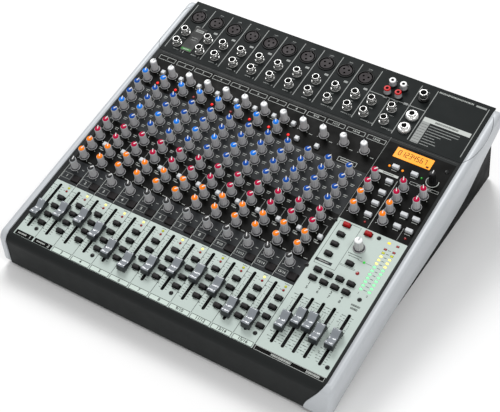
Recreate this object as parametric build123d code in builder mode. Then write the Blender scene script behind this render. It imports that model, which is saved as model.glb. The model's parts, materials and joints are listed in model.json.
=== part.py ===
"""A desk mixing console with twelve channel strips, a master section and a sloping control surface.

Millimetres, +Z up. The operator stands at -Y; the connectors are at +Y. The origin is on the
ground, under the middle of the console.

Most of the console is laid out on the slope, the plane of the control surface: x to the right,
v up the slope (0 at the back end of the fader slots), and a height out of the surface.
"""

import os
from math import cos, radians, sin

from build123d import *

os.makedirs("parts", exist_ok=True)

# Driving dimensions
tilt = 12.0  # degrees between the control surface and the ground
pitch = 27.0  # width of a channel strip
strips = 12
mono_strips = 8
panel_width = 421.0
sheet = 1.6  # steel sheet
foot_height = 4.0
slope_origin_y = -127.2
slope_origin_z = 68.6
first_strip_x = -195.2  # fader slot of the first strip

# Side outline, on the slope's own axes
nose_v = -82.2  # where the flat surface starts to roll over into the apron
nose_radius = 10.5
nose_turn = 81.0
crease_v = 232.8  # seam between control panel and connector panel
back_v = 323.8
seam = 0.5
tray_clear = 0.4
tray_width = 416.0

# Cheeks
cheek_thick = 10.0
cheek_rise = 1.6  # stands proud of the panel and the apron
cheek_drop = 44.5
cheek_belly = 65.0
cheek_round = 5.0
cheek_gap = 0.2
ridge_drop = 18.5
ridge_inset = 3.8
lip_reach = 23.0

# Faders
slot_length = 67.0
slot_width = 3.0
fader_travel = 60.0
slot_mid_v = -slot_length / 2
cap_length = 24.0
cap_width = 10.8
cap_base = 1.4
cap_top = 11.0
cap_dip = 7.8

# Rotary controls
knob_skirt_r = 6.0
knob_foot_r = 5.3
knob_top_r = 4.1
knob_clear = 0.8  # between the skirt and the panel
knob_height = 15.8
cap_height = 1.2
shaft_r = 2.0
shaft_clear = 0.05
bushing_r = 3.2
knob_hole_r = 3.8

# Keys
key_length = 8.4
key_depth = 4.6
key_rise = 4.0
key_gap = 0.4
key_travel = 2.0

# Boards below the slope
board_drop = 13.0
board_thick = 1.6
connector_board_drop = 25.0

# Sockets
jack_bore_r = 3.25
jack_barrel_r = 4.7
jack_rise = 9.0
jack_depth = 20.0
xlr_r = 10.6

CENTRE = (Align.CENTER, Align.CENTER, Align.CENTER)
UP = (Align.CENTER, Align.CENTER, Align.MIN)
DOWN = (Align.CENTER, Align.CENTER, Align.MAX)

lean = radians(tilt)
slope = Plane(
    origin=(0, slope_origin_y, slope_origin_z),
    x_dir=(1, 0, 0),
    z_dir=(0, -sin(lean), cos(lean)),
)


def side(x):
    """The plane across the console at x; its axes run up the slope and out of the panel."""
    return Plane(
        origin=(x, slope_origin_y, slope_origin_z), x_dir=slope.y_dir, z_dir=(1, 0, 0)
    )


def level(v, height):
    """How high above the ground a point of the side outline is."""
    return slope_origin_z + v * sin(lean) + height * cos(lean)


def drop_to(v, z):
    """The height out of the panel at which the line across v reaches ground level z."""
    return (z - slope_origin_z - v * sin(lean)) / cos(lean)


rear = Plane(
    origin=slope.from_local_coords((0, back_v, 0)), x_dir=(-1, 0, 0), z_dir=slope.y_dir
)


def save(builder, name):
    builder.part.label = name
    export_step(builder.part, f"parts/{name}.step")


# Where everything stands on the slope, as (x, v)


def strip_x(index):
    return first_strip_x + index * pitch


knob_shift = 0.7
gain_v = 199.8
compressor_v = 182.3
tone_v = [164.0, 147.3, 130.7, 114.1]
send_v = [96.1, 79.3, 62.5, 45.9]
pan_v = 27.6
strip_rows = {
    "gain": gain_v,
    "compressor": compressor_v,
    "treble": tone_v[0],
    "mid": tone_v[1],
    "mid_frequency": tone_v[2],
    "bass": tone_v[3],
    "send_1": send_v[0],
    "send_2": send_v[1],
    "send_3": send_v[2],
    "send_4": send_v[3],
    "pan": pan_v,
}

master_send_x = 131.2
master_return_x = 167.4
master_right_x = 192.1
master_v = [171.8, 154.9, 138.3, 121.4]
phones_place = (160.9, 78.3)
encoder_place = (192.0, 194.5)

master_knobs = (
    [(master_send_x, v) for v in master_v]
    + [(master_return_x, v) for v in master_v]
    + [(master_right_x, v) for v in master_v[:2]]
)


def strips_with(row):
    return mono_strips if row == "compressor" else strips


fixed_knob_places = [
    (strip_x(i) + knob_shift, v)
    for row, v in strip_rows.items()
    for i in range(1, strips_with(row))
] + master_knobs
strip_knob_places = {
    row: (strip_x(0) + knob_shift, v) for row, v in strip_rows.items()
}
small_knob_places = fixed_knob_places + list(strip_knob_places.values())

key_x = 12.4
key_rows = [-17.0, -29.9, -43.0, -55.8]
channel_keys = [(strip_x(i) + key_x, v) for i in range(strips) for v in key_rows]

mute_x, mute_v = 12.2, 13.0
mute_length, mute_depth, mute_rise = 10.0, 8.6, 1.6
mute_keys = [(strip_x(i) + mute_x, mute_v) for i in range(strips)]

small_x, low_cut_v, send_key_v = 14.0, 198.7, 71.4
stereo_key_x, stereo_key_v = 1.6, 181.0
small_keys = (
    [(strip_x(i) + small_x, low_cut_v) for i in range(mono_strips)]
    + [(strip_x(i) + small_x, send_key_v) for i in range(strips)]
    + [(strip_x(i) + stereo_key_x, stereo_key_v) for i in (8, 9)]
)
small_key_size = 5.2

master_white_keys = (
    [(146.0, 194.4), (169.8, 194.4)]
    + [(148.7, v) for v in (173.0, 155.9, 139.4, 122.3)]
    + [(x, v) for x in (184.8, 199.4) for v in (139.4, 122.3)]
)
red_keys = [(134.3, 99.2), (161.3, 99.2)]
group_x = [134.3, 147.9, 161.4, 175.0]
master_black_keys = [(134.3, v) for v in (85.3, 71.1, 56.9)] + [(161.3, 56.1)]
master_black_keys += [(x, v) for x in group_x for v in (33.7, 22.2)]
wide_keys = channel_keys + master_white_keys + red_keys + master_black_keys

lamp_r = 1.5
strip_lamps = [
    (strip_x(i) + 12.1, v) for i in range(strips) for v in (-6.2, -1.2)
] + [(strip_x(i) + 15.9, 182.2) for i in range(mono_strips)]
master_lamps = [(138.1, 193.9), (154.8, 193.9), (178.8, 193.9)]
master_lamps += [(149.8, 112.2), (199.8, 112.2), (174.6, 64.4), (174.6, 49.0)]
meter_rows = [90.0 - 5.15 * row for row in range(12)]
bar_lamps = [(x, v) for x in (187.1, 197.5) for v in [99.0] + meter_rows]
bar_lamp_size = (3.6, 2.6)

display_place, display_size = (158.1, 215.2), (46.8, 14.8)
badge_place, badge_size = (-177.6, 263.0), (17.2, 43.0)

screw_places = [(strip_x(i) + 12.1, -65.6) for i in (0, 3, 7, 11)]
screw_places += [(201.5, -65.6), (192.4, 20.8), (120.2, 33.6), (119.2, 100.0)]
screw_places += [(174.1, 99.8), (200.5, 214.3)]
screw_r, screw_head_r, screw_head_height = 1.4, 2.5, 1.5

group_fader_x = [134.1, 147.5, 161.0, 174.4]
main_fader_x = 192.4
fader_rest = {
    "fader_1": (strip_x(0), -42.9),
    "fader_2": (strip_x(1), -34.3),
    "fader_3": (strip_x(2), -30.3),
    "fader_4": (strip_x(3), -38.4),
    "fader_5": (strip_x(4), -50.8),
    "fader_6": (strip_x(5), -56.7),
    "fader_7": (strip_x(6), -48.4),
    "fader_8": (strip_x(7), -37.8),
    "fader_9_10": (strip_x(8), -33.0),
    "fader_11_12": (strip_x(9), -37.8),
    "fader_13_14": (strip_x(10), -52.2),
    "fader_15_16": (strip_x(11), -54.5),
    "group_fader_1": (group_fader_x[0], -40.7),
    "group_fader_2": (group_fader_x[1], -29.8),
    "group_fader_3": (group_fader_x[2], -29.2),
    "group_fader_4": (group_fader_x[3], -37.4),
    "main_fader": (main_fader_x, -35.6),
}

xlr_places = [(strip_x(i) + 2.3, 299.8) for i in range(10)]
jack_v = [270.0, 249.6]
jack_shift = [1.1, 8.5] + [4.5] * 8 + [-0.3] * 2
jack_places = [(strip_x(i) + jack_shift[i], v) for i in range(strips) for v in jack_v]
ringed_jack_places = [(128.3, v) for v in jack_v]
phono_places = [(x, v) for x in (85.4, 99.9) for v in (303.8, 289.8)]
lamp_socket_place = (128.3, 300.0)

rear_jack_places = [(-60.0, -62.0), (-84.0, -62.0)]
rear_xlr_places = [(-120.0, -62.0), (-150.0, -62.0)]
inlet_place, inlet_size = (150.0, -66.0), (28.0, 20.0)
switch_place, switch_size = (118.0, -66.0), (15.0, 21.0)
rear_screw_places = [(x, v) for x in (-190, -30, 60, 190) for v in (-12, -112)]

# Control panel and apron


def nose_end(radius):
    """The end of an arc round the nose, where it runs out into the front face."""
    angle = radians(90 + nose_turn)
    return (
        nose_v + radius * cos(angle),
        -nose_radius + radius * sin(angle),
    )


def front_foot(radius, z):
    """Where the front face, tangent to that arc, reaches ground level z."""
    v, height = nose_end(radius)
    face_lean = radians(90 - nose_turn)
    run = (level(v, height) - z) / cos(lean - face_lean)
    return v - run * sin(face_lean), height - run * cos(face_lean)


nose_centre = (nose_v, -nose_radius)
apron_foot_z = foot_height + 0.3

with BuildPart() as control_panel:
    with BuildSketch(side(-panel_width / 2)):
        with BuildLine():
            inner_r = nose_radius - sheet
            Line((crease_v - seam, 0), (nose_v, 0))
            CenterArc(nose_centre, nose_radius, 90, nose_turn)
            Line(nose_end(nose_radius), front_foot(nose_radius, apron_foot_z))
            Line(
                front_foot(nose_radius, apron_foot_z), front_foot(inner_r, apron_foot_z)
            )
            Line(front_foot(inner_r, apron_foot_z), nose_end(inner_r))
            CenterArc(nose_centre, inner_r, 90 + nose_turn, -nose_turn)
            Line((nose_v, -sheet), (crease_v - seam, -sheet))
            Line((crease_v - seam, -sheet), (crease_v - seam, 0))
        make_face()
    extrude(amount=panel_width)
    through = sheet + 2
    with BuildSketch(slope.offset(1)):
        with Locations(*[(x, slot_mid_v) for x, _ in fader_rest.values()]):
            SlotOverall(slot_length, slot_width, rotation=90)
    extrude(amount=-through, mode=Mode.SUBTRACT)
    with BuildSketch(slope.offset(1)):
        with Locations(*small_knob_places, phones_place, encoder_place):
            Circle(knob_hole_r)
    extrude(amount=-through, mode=Mode.SUBTRACT)
    with BuildSketch(slope.offset(1)):
        with Locations(*wide_keys):
            Rectangle(key_length + 2 * key_gap, key_depth + 2 * key_gap)
        with Locations(*small_keys):
            Rectangle(small_key_size + 2 * key_gap, small_key_size + 2 * key_gap)
        with Locations(*mute_keys):
            Rectangle(mute_length + 2 * key_gap, mute_depth + 2 * key_gap)
    extrude(amount=-through, mode=Mode.SUBTRACT)
    with BuildSketch(slope.offset(1)):
        with Locations(*strip_lamps, *master_lamps):
            Circle(lamp_r + 0.1)
        with Locations(*bar_lamps):
            Rectangle(bar_lamp_size[0] + 0.2, bar_lamp_size[1] + 0.2)
        with Locations(*screw_places):
            Circle(screw_r + 0.2)
        with Locations(display_place):
            Rectangle(display_size[0] + 0.2, display_size[1] + 0.2)
    extrude(amount=-through, mode=Mode.SUBTRACT)
save(control_panel, "control_panel")

with BuildPart() as connector_panel:
    with BuildSketch(slope):
        with Locations((0, (crease_v + back_v) / 2)):
            Rectangle(panel_width, back_v - crease_v)
        with Locations(*xlr_places):
            Circle(xlr_r + 0.2, mode=Mode.SUBTRACT)
        with Locations(*jack_places, *ringed_jack_places):
            Circle(jack_barrel_r + 0.2, mode=Mode.SUBTRACT)
        with Locations(*phono_places):
            Circle(3.4, mode=Mode.SUBTRACT)
        with Locations(lamp_socket_place):
            Circle(5.2, mode=Mode.SUBTRACT)
    extrude(amount=-sheet)
save(connector_panel, "connector_panel")

# Base tray: bottom and side walls, one sheet
inside_r = nose_radius - sheet - tray_clear
tray_top = -sheet - tray_clear
tray_back_v = back_v - sheet - tray_clear

with BuildPart() as base_tray:
    with BuildSketch(side(-tray_width / 2)):
        with BuildLine():
            Polyline(
                (tray_back_v, tray_top),
                (nose_v, tray_top),
                nose_end(inside_r),
                front_foot(inside_r, foot_height),
                (tray_back_v, drop_to(tray_back_v, foot_height)),
                close=True,
            )
        make_face()
    extrude(amount=tray_width)
    with BuildSketch(Plane.XY.offset(foot_height + sheet)):
        Rectangle(tray_width - 2 * sheet, 2 * tray_width)
    extrude(amount=tray_width, mode=Mode.SUBTRACT)
save(base_tray, "base_tray")

rear_inset = sheet + tray_clear
rear_foot = drop_to(back_v, foot_height)
with BuildPart() as rear_panel:
    with BuildSketch(rear):
        with Locations((0, (tray_top + rear_foot + tray_clear) / 2)):
            Rectangle(tray_width, tray_top - rear_foot - tray_clear)
        with Locations(*rear_xlr_places):
            Circle(xlr_r + 0.2, mode=Mode.SUBTRACT)
        with Locations(*rear_jack_places):
            Circle(jack_barrel_r + 0.2, mode=Mode.SUBTRACT)
        with Locations(*rear_screw_places):
            Circle(screw_r + 0.2, mode=Mode.SUBTRACT)
        with Locations(inlet_place):
            Rectangle(inlet_size[0] + 0.4, inlet_size[1] + 0.4, mode=Mode.SUBTRACT)
        with Locations(switch_place):
            Rectangle(switch_size[0] + 0.4, switch_size[1] + 0.4, mode=Mode.SUBTRACT)
    extrude(amount=-sheet)
save(rear_panel, "rear_panel")

# Cheeks: the same side outline on both sides, and a lip round the front corner on the right
cheek_nose_r = nose_radius + cheek_rise
cheek_foot_z = foot_height + 0.8


def cheek_outline():
    """The side view of a cheek, as a closed face."""
    with BuildSketch(mode=Mode.PRIVATE) as outline:
        with BuildLine():
            Line((312, cheek_rise), (nose_v, cheek_rise))
            CenterArc(nose_centre, cheek_nose_r, 90, nose_turn)
            toe = front_foot(cheek_nose_r, cheek_foot_z + 5)
            heel = (toe[0] + 12, drop_to(toe[0] + 12, cheek_foot_z))
            Line(nose_end(cheek_nose_r), toe)
            ThreePointArc(
                toe,
                (toe[0] + 3, drop_to(toe[0] + 3, cheek_foot_z + 0.9)),
                heel,
            )
            Spline(
                heel,
                (-70, -cheek_drop),
                tangents=[(cos(lean), -sin(lean)), (1, 0)],
            )
            Line((-70, -cheek_drop), (20, -cheek_drop))
            Spline(
                (20, -cheek_drop),
                (210, -cheek_belly),
                tangents=[(1, 0), (1, 0)],
            )
            Spline(
                (210, -cheek_belly),
                (289, -36),
                (319, -23.5),
                (324.5, -11.5),
                (321.5, -2),
                (312, cheek_rise),
                tangents=[(1, 0), (-1, 0)],
            )
        make_face()
    return outline.sketch


ridge_wedge = [
    (cheek_thick + 0.001, -ridge_drop),
    (cheek_thick + 5, -ridge_drop),
    (cheek_thick + 5, -80),
    (cheek_thick - ridge_inset * (80 - ridge_drop) / (cheek_belly - ridge_drop), -80),
]


def wedge_points(sign):
    return [(sign * (panel_width / 2 + out), height) for out, height in ridge_wedge]


across = Plane(
    origin=slope.from_local_coords((0, -130, 0)), x_dir=(1, 0, 0), z_dir=-slope.y_dir
)

with BuildPart() as right_cheek:
    with BuildSketch(side(panel_width / 2 - lip_reach)):
        with BuildLine():
            lip_outer = front_foot(cheek_nose_r, cheek_foot_z + 1)
            lip_inner = front_foot(nose_radius + cheek_gap, cheek_foot_z + 1)
            skin_r = nose_radius + cheek_gap
            Line((nose_v + 2, cheek_rise), (nose_v, cheek_rise))
            CenterArc(nose_centre, cheek_nose_r, 90, nose_turn)
            Line(nose_end(cheek_nose_r), lip_outer)
            Line(lip_outer, lip_inner)
            Line(lip_inner, nose_end(skin_r))
            CenterArc(nose_centre, skin_r, 90 + nose_turn, -nose_turn)
            Line((nose_v, cheek_gap), (nose_v + 2, cheek_gap))
            Line((nose_v + 2, cheek_gap), (nose_v + 2, cheek_rise))
        make_face()
    extrude(amount=lip_reach + 1)
    with BuildSketch(Plane.XZ.offset(100)):
        edge_x = panel_width / 2 + 1
        with BuildLine():
            Spline(
                (edge_x, level(nose_v, 3)),
                (edge_x - 6, level(-91, -6)),
                (edge_x - 13, level(-94.5, -18)),
                (edge_x - lip_reach + 1.5, level(-97, -34)),
                (edge_x - lip_reach - 0.5, level(-97.5, -41)),
            )
            Line(
                (edge_x - lip_reach - 0.5, level(-97.5, -41)), (edge_x - lip_reach, 0)
            )
            Line((edge_x - lip_reach, 0), (edge_x, 0))
            Line((edge_x, 0), (edge_x, level(nose_v, 3)))
        make_face()
    extrude(amount=400, both=True, mode=Mode.INTERSECT)
    with BuildSketch(side(panel_width / 2 + cheek_gap)):
        add(cheek_outline())
    extrude(amount=cheek_thick - cheek_gap)
    fillet(right_cheek.faces().sort_by(Axis.X)[-1].edges(), cheek_round)
    with BuildSketch(across):
        Polygon(*wedge_points(1), align=None)
    extrude(amount=-600, both=True, mode=Mode.SUBTRACT)
save(right_cheek, "right_cheek")

with BuildPart() as left_cheek:
    with BuildSketch(side(-panel_width / 2 - cheek_thick)):
        add(cheek_outline())
    extrude(amount=cheek_thick - cheek_gap)
    fillet(left_cheek.faces().sort_by(Axis.X)[0].edges(), cheek_round)
    with BuildSketch(across):
        Polygon(*wedge_points(-1), align=None)
    extrude(amount=-600, both=True, mode=Mode.SUBTRACT)
save(left_cheek, "left_cheek")

# Feet
foot_r = 9.0
with BuildPart() as rubber_feet:
    with Locations(*[(x, y) for x in (-175, 175) for y in (-190, 190)]):
        Cylinder(foot_r, foot_height, align=UP)
    bottom_rims = rubber_feet.faces().filter_by(Axis.Z).group_by(Axis.Z)[0].edges()
    chamfer(bottom_rims, 1)
save(rubber_feet, "rubber_feet")

# Screws with domed heads, and the spacers by which they hold the control board


def turned(*outline):
    """A solid turned about Z from its half outline, given as (radius, height)."""
    with BuildPart(mode=Mode.PRIVATE) as made:
        with BuildSketch(Plane.XZ):
            with BuildLine():
                Polyline(*outline, close=True)
            make_face()
        revolve(axis=Axis.Z)
    return made.part


def placed(shape, places, plane=slope):
    """Copies of a shape standing on a plane at each (x, v) or (x, v, height)."""
    with BuildPart(plane, mode=Mode.PRIVATE) as group:
        with Locations(*places):
            add(shape)
    return group.part


screw = turned(
    (0, -8),
    (screw_r, -8),
    (screw_r, 0),
    (screw_head_r, 0),
    (screw_head_r, 0.5),
    (screw_head_r - 0.6, 1.2),
    (0, screw_head_height),
)
spacer_top = -sheet - 0.1
spacer_foot = -board_drop
spacer = turned(
    (screw_r + 0.1, spacer_foot),
    (2.8, spacer_foot),
    (2.8, spacer_top),
    (screw_r + 0.1, spacer_top),
)
with BuildPart() as fasteners:
    add(placed(screw, screw_places))
    add(placed(spacer, screw_places))
    add(placed(screw, rear_screw_places, rear))
save(fasteners, "fasteners")

# Sockets of the connector panel and the rear panel
core_r, well_r, well_depth = 7.9, 9.3, 9.0
xlr_rise, xlr_depth = 0.8, 22.0
pin_circle_r, pin_hole_r, pin_r = 3.9, 1.4, 1.2
xlr_front = Plane.XY.offset(xlr_rise)

with BuildPart() as xlr_socket:
    with Locations((0, 0, xlr_rise)):
        Cylinder(xlr_r, xlr_rise + xlr_depth, align=DOWN)
    with BuildSketch(xlr_front):
        Circle(well_r)
        Circle(core_r, mode=Mode.SUBTRACT)
        with PolarLocations(pin_circle_r, 3, 30):
            Circle(pin_hole_r)
    extrude(amount=-well_depth, mode=Mode.SUBTRACT)

with BuildPart() as xlr_plug:
    with Locations((0, 0, xlr_rise)):
        Cylinder(xlr_r, xlr_rise + xlr_depth, align=DOWN)
    with BuildSketch(xlr_front):
        Circle(well_r)
    extrude(amount=-well_depth - 3, mode=Mode.SUBTRACT)
    with BuildSketch(xlr_front.offset(-well_depth - 3)):
        with PolarLocations(pin_circle_r, 3, 30):
            Circle(pin_r)
    extrude(amount=well_depth + 2)

with BuildPart() as xlr_sockets:
    add(placed(xlr_socket.part, xlr_places))
save(xlr_sockets, "xlr_sockets")

with BuildPart() as rear_output_sockets:
    add(placed(xlr_plug.part, rear_xlr_places, rear))
save(rear_output_sockets, "rear_output_sockets")

bore_mouth = 0.7
jack_floor = -jack_depth + 3
jack_nut_height = 2.4


def jack_socket(nut_r, shoulder_r, shoulder):
    """A threaded jack socket on its block below the panel, with a nut or a dished ring."""
    barrel = turned(
        (0, -jack_depth),
        (jack_barrel_r, -jack_depth),
        (jack_barrel_r, jack_rise),
        (jack_bore_r + bore_mouth, jack_rise),
        (jack_bore_r, jack_rise - bore_mouth),
        (jack_bore_r, jack_floor),
        (0, jack_floor),
    )
    ring = turned(
        (jack_barrel_r - 0.3, 0.1),
        (nut_r, 0.1),
        (nut_r, jack_nut_height),
        (shoulder_r, shoulder),
        (jack_barrel_r - 0.3, shoulder),
    )
    with BuildPart(mode=Mode.PRIVATE) as made:
        with Locations((0, 0, tray_top)):
            Box(11, 12, jack_depth + tray_top, align=DOWN)
        Cylinder(
            jack_bore_r, 2 * jack_depth, align=CENTRE, mode=Mode.SUBTRACT
        )
        add(barrel)
        add(ring)
    return made.part


plain_jack = jack_socket(5.6, 5.2, jack_nut_height + 0.4)
ringed_jack = jack_socket(8.0, 6.2, 6.4)
with BuildPart() as jack_sockets:
    add(placed(plain_jack, jack_places))
    add(placed(ringed_jack, ringed_jack_places))
    add(placed(plain_jack, rear_jack_places, rear))
save(jack_sockets, "jack_sockets")

phono_r, phono_rise = 4.15, 10.0
phono = turned(
    (0, -6),
    (3.2, -6),
    (3.2, 0.1),
    (5.4, 0.1),
    (5.4, 1.6),
    (phono_r, 1.6),
    (phono_r, phono_rise - 0.5),
    (phono_r - 0.5, phono_rise),
    (1.7, phono_rise),
    (1.7, 2.5),
    (0, 2.5),
)
with BuildPart() as phono_sockets:
    add(placed(phono, phono_places))
save(phono_sockets, "phono_sockets")

bayonet_r, bayonet_rise = 4.8, 12.5
bayonet = turned(
    (0, -6),
    (5.0, -6),
    (5.0, 0.1),
    (6.8, 0.1),
    (6.8, 2.2),
    (bayonet_r, 2.6),
    (bayonet_r, bayonet_rise),
    (bayonet_r - 0.8, bayonet_rise),
    (bayonet_r - 0.8, 5.0),
    (2.2, 5.0),
    (2.2, bayonet_rise - 1),
    (0, bayonet_rise - 1),
)
with BuildPart() as bayonet_socket:
    add(bayonet)
    with Locations((0, 0, bayonet_rise - 3)):
        Cylinder(0.8, 2 * bayonet_r + 1.8, rotation=(0, 90, 0))
    Cylinder(bayonet_r - 0.8, 2 * bayonet_rise, mode=Mode.SUBTRACT, align=UP)
    add(bayonet)
with BuildPart() as lamp_socket:
    add(placed(bayonet_socket.part, [lamp_socket_place]))
save(lamp_socket, "lamp_socket")

# Mains inlet with three blades, and beside it the rocker switch on its round pivot pin
inlet_depth, inlet_wall = 18.0, 2.0
rocker_pivot_depth, rocker_pin_r = 3.0, 1.5
with BuildPart(rear) as mains_inlet:
    with Locations((*inlet_place, 1.5)):
        Box(*inlet_size, inlet_depth, align=DOWN)
        Box(inlet_size[0] + 5, inlet_size[1] + 5, 1.4, align=DOWN)
    with Locations((*inlet_place, 1.6)):
        Box(
            inlet_size[0] - 2 * inlet_wall,
            inlet_size[1] - 2 * inlet_wall,
            inlet_depth - 3,
            align=DOWN,
            mode=Mode.SUBTRACT,
        )
    blade_x, blade_v = inlet_place
    blades = [(blade_x - 7, blade_v - 2), (blade_x + 7, blade_v - 2)]
    blades += [(blade_x, blade_v + 2.6)]
    with Locations(*[(x, v, -inlet_depth + 2) for x, v in blades]):
        Box(2, 4.4, inlet_depth - 3, align=UP)
    with Locations((*switch_place, 1.5)):
        Box(*switch_size, inlet_depth, align=DOWN)
        Box(switch_size[0] + 3, switch_size[1] + 3, 1.4, align=DOWN)
        Box(
            switch_size[0] - 3,
            switch_size[1] - 3,
            inlet_depth - 3,
            align=DOWN,
            mode=Mode.SUBTRACT,
        )
    with Locations((*switch_place, -rocker_pivot_depth)):
        Cylinder(
            rocker_pin_r + 0.1,
            2 * switch_size[0],
            rotation=(0, 90, 0),
            mode=Mode.SUBTRACT,
        )
save(mains_inlet, "mains_inlet")

rocker_half = 7.6
rocker_tilt = 9.0
rocker_gap = 0.6
rocker_width = switch_size[0] - 3 - 2 * rocker_gap
rocker_plane = Plane(
    origin=rear.from_local_coords((*switch_place, -rocker_pivot_depth)),
    x_dir=rear.y_dir * cos(radians(rocker_tilt)) + rear.z_dir * sin(radians(rocker_tilt)),
    z_dir=rear.x_dir,
)
with BuildPart() as power_switch:
    with BuildSketch(rocker_plane.offset(-rocker_width / 2)):
        with BuildLine():
            Polyline(
                (-rocker_half + 0.8, 1.2),
                (-rocker_half, 3.9),
                (0, 2.8),
                (rocker_half, 3.9),
                (rocker_half - 0.8, 1.2),
                (3.0, -3.5),
                (-3.0, -3.5),
                close=True,
            )
        make_face()
    extrude(amount=rocker_width)
    with BuildSketch(rocker_plane.offset(-switch_size[0] / 2)):
        Circle(rocker_pin_r)
    extrude(amount=switch_size[0])
save(power_switch, "power_switch")

# Display window and badge
slope_axis = Axis(slope.origin, slope.z_dir)
with BuildPart(slope) as display_window:
    with Locations((*display_place, -sheet)):
        Box(*display_size, sheet + 0.6, align=UP)
    chamfer(display_window.faces().sort_by(slope_axis)[-1].edges(), 0.3)
save(display_window, "display_window")

with BuildPart(slope) as badge_plate:
    with Locations((*badge_place, 0.05)):
        Box(*badge_size, 0.8, align=UP)
    chamfer(badge_plate.faces().sort_by(slope_axis)[-1].edges(), 0.3)
save(badge_plate, "badge_plate")

# Lamps: domed lenses and the bars of the level meter, each on its legs
lens = turned(
    (0, -5),
    (lamp_r, -5),
    (lamp_r, 0.5),
    (lamp_r - 0.4, 1.0),
    (0, 1.2),
)
with BuildPart(slope) as lamps:
    with Locations(*strip_lamps, *master_lamps):
        add(lens)
    with Locations(*[(x, v, 0.4) for x, v in bar_lamps]):
        Box(*bar_lamp_size, 4, align=DOWN)
save(lamps, "lamps")

# Circuit boards
control_board_span = (-74.0, 224.0)
connector_board_span = (240.0, 318.0)
board_width = 394.0


def board(span, drop):
    """A circuit board under the slope, between two v positions."""
    with BuildPart(slope, mode=Mode.PRIVATE) as made:
        with Locations((0, sum(span) / 2, -drop)):
            Box(board_width, span[1] - span[0], board_thick, align=DOWN)
    return made.part


with BuildPart() as circuit_boards:
    add(board(control_board_span, board_drop))
    add(board(connector_board_span, connector_board_drop))
save(circuit_boards, "circuit_boards")

# Fader bodies: open-topped channels that stand on the control board
channel_width, channel_length, channel_height = 9.0, 78.0, 9.0
channel_wall = 1.0
channel_foot = -board_drop + 0.05
lip_slot = 3.4
fader_places = [(x, slot_mid_v, channel_foot) for x, _ in fader_rest.values()]
with BuildPart() as fader_channel:
    Box(channel_width, channel_length, channel_height, align=UP)
    with Locations((0, 0, channel_wall)):
        Box(
            channel_width - 2 * channel_wall,
            channel_length - 2 * channel_wall,
            channel_height - 2 * channel_wall,
            align=UP,
            mode=Mode.SUBTRACT,
        )
        Box(lip_slot, channel_length - 6, channel_height, align=UP, mode=Mode.SUBTRACT)
with BuildPart() as fader_bodies:
    add(placed(fader_channel.part, fader_places))
save(fader_bodies, "fader_bodies")

# Potentiometer bodies: a case on the board and a bushing that guides the shaft
case_top = -6.0
bushing_top = 0.4
case_foot = -board_drop + 0.05
with BuildPart() as pot_body:
    with Locations((0, 0, case_foot)):
        Box(9.6, 11, case_top - case_foot, align=UP)
    with Locations((0, 0, case_top)):
        Cylinder(bushing_r, bushing_top - case_top, align=UP)
    with Locations((0, 0, case_foot + 2)):
        Cylinder(shaft_r + shaft_clear, 20, align=UP, mode=Mode.SUBTRACT)
with BuildPart() as potentiometer_bodies:
    add(placed(pot_body.part, small_knob_places + [phones_place, encoder_place]))
save(potentiometer_bodies, "potentiometer_bodies")

# Switch bodies under the keys
switch_top = -5.8
with BuildPart(slope) as switch_bodies:
    with Locations(*[(x, v, case_foot) for x, v in wide_keys + mute_keys]):
        Box(7, 4.8, switch_top - case_foot, align=UP)
    with Locations(*[(x, v, case_foot) for x, v in small_keys]):
        Box(4.8, 4.8, switch_top - case_foot, align=UP)
save(switch_bodies, "switch_bodies")


# Keys
def keys(places, length, depth, rise):
    """Key caps with a bevelled top, each on the stem that works its switch."""
    with BuildPart(mode=Mode.PRIVATE) as cap:
        with Locations((0, 0, rise)):
            Box(length, depth, rise + 2, align=DOWN)
        chamfer(cap.faces().sort_by(Axis.Z)[-1].edges(), 0.5)
        with Locations((0, 0, -2)):
            Box(2.4, 2.4, -switch_top - 2 - key_travel - 0.4, align=DOWN)
    return placed(cap.part, places)


wide_key = (key_length, key_depth, key_rise)
small_key = (small_key_size, small_key_size, key_rise)
mute_key = (mute_length, mute_depth, mute_rise)
key_groups = {
    "channel_keys": [(channel_keys, wide_key)],
    "mute_keys": [(mute_keys, mute_key)],
    "white_keys": [(master_white_keys, wide_key), (small_keys, small_key)],
    "red_keys": [(red_keys, wide_key)],
    "master_keys": [(master_black_keys, wide_key)],
}
for name, rows in key_groups.items():
    with BuildPart() as group:
        for places, size in rows:
            add(keys(places, *size))
    save(group, name)


# Knobs
def knob_outline(scale=1.0):
    """Half outline of a knob with its skirt, tapering body and top."""
    return (
        (0, knob_clear),
        (knob_skirt_r * scale, knob_clear),
        (knob_skirt_r * scale, knob_clear + 1.0),
        (knob_foot_r * scale, knob_clear + 1.8),
        (knob_top_r * scale, knob_height),
        (0, knob_height),
    )


shaft_foot = case_foot + 2.5
fixed_knob = turned(
    (0, shaft_foot),
    (shaft_r, shaft_foot),
    (shaft_r, knob_clear),
    *knob_outline()[1:5],
    (knob_top_r - 0.3, knob_height + cap_height),
    (0, knob_height + cap_height),
)
with BuildPart() as fixed_knobs:
    add(placed(fixed_knob, fixed_knob_places))
save(fixed_knobs, "fixed_knobs")


def turning_knob(place, scale=1.0, pointer=0.0):
    """A knob body on its shaft, and its cap with a raised pointer at an angle to the slope."""
    top_r = knob_top_r * scale
    body = turned(
        (0, shaft_foot),
        (shaft_r, shaft_foot),
        (shaft_r, knob_clear),
        *knob_outline(scale)[1:],
    )
    with BuildPart(mode=Mode.PRIVATE) as cap:
        with Locations((0, 0, knob_height + 0.02)):
            Cone(top_r, top_r - 0.3, cap_height - 0.02, align=UP)
        with Locations((0, 0, knob_height + cap_height)):
            with Locations(Location((0, 0, 0), (0, 0, pointer))):
                with Locations((0, top_r / 2)):
                    Box(1.0, top_r - 0.6, 0.4)
    return placed(body, [place]), placed(cap.part, [place])


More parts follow.
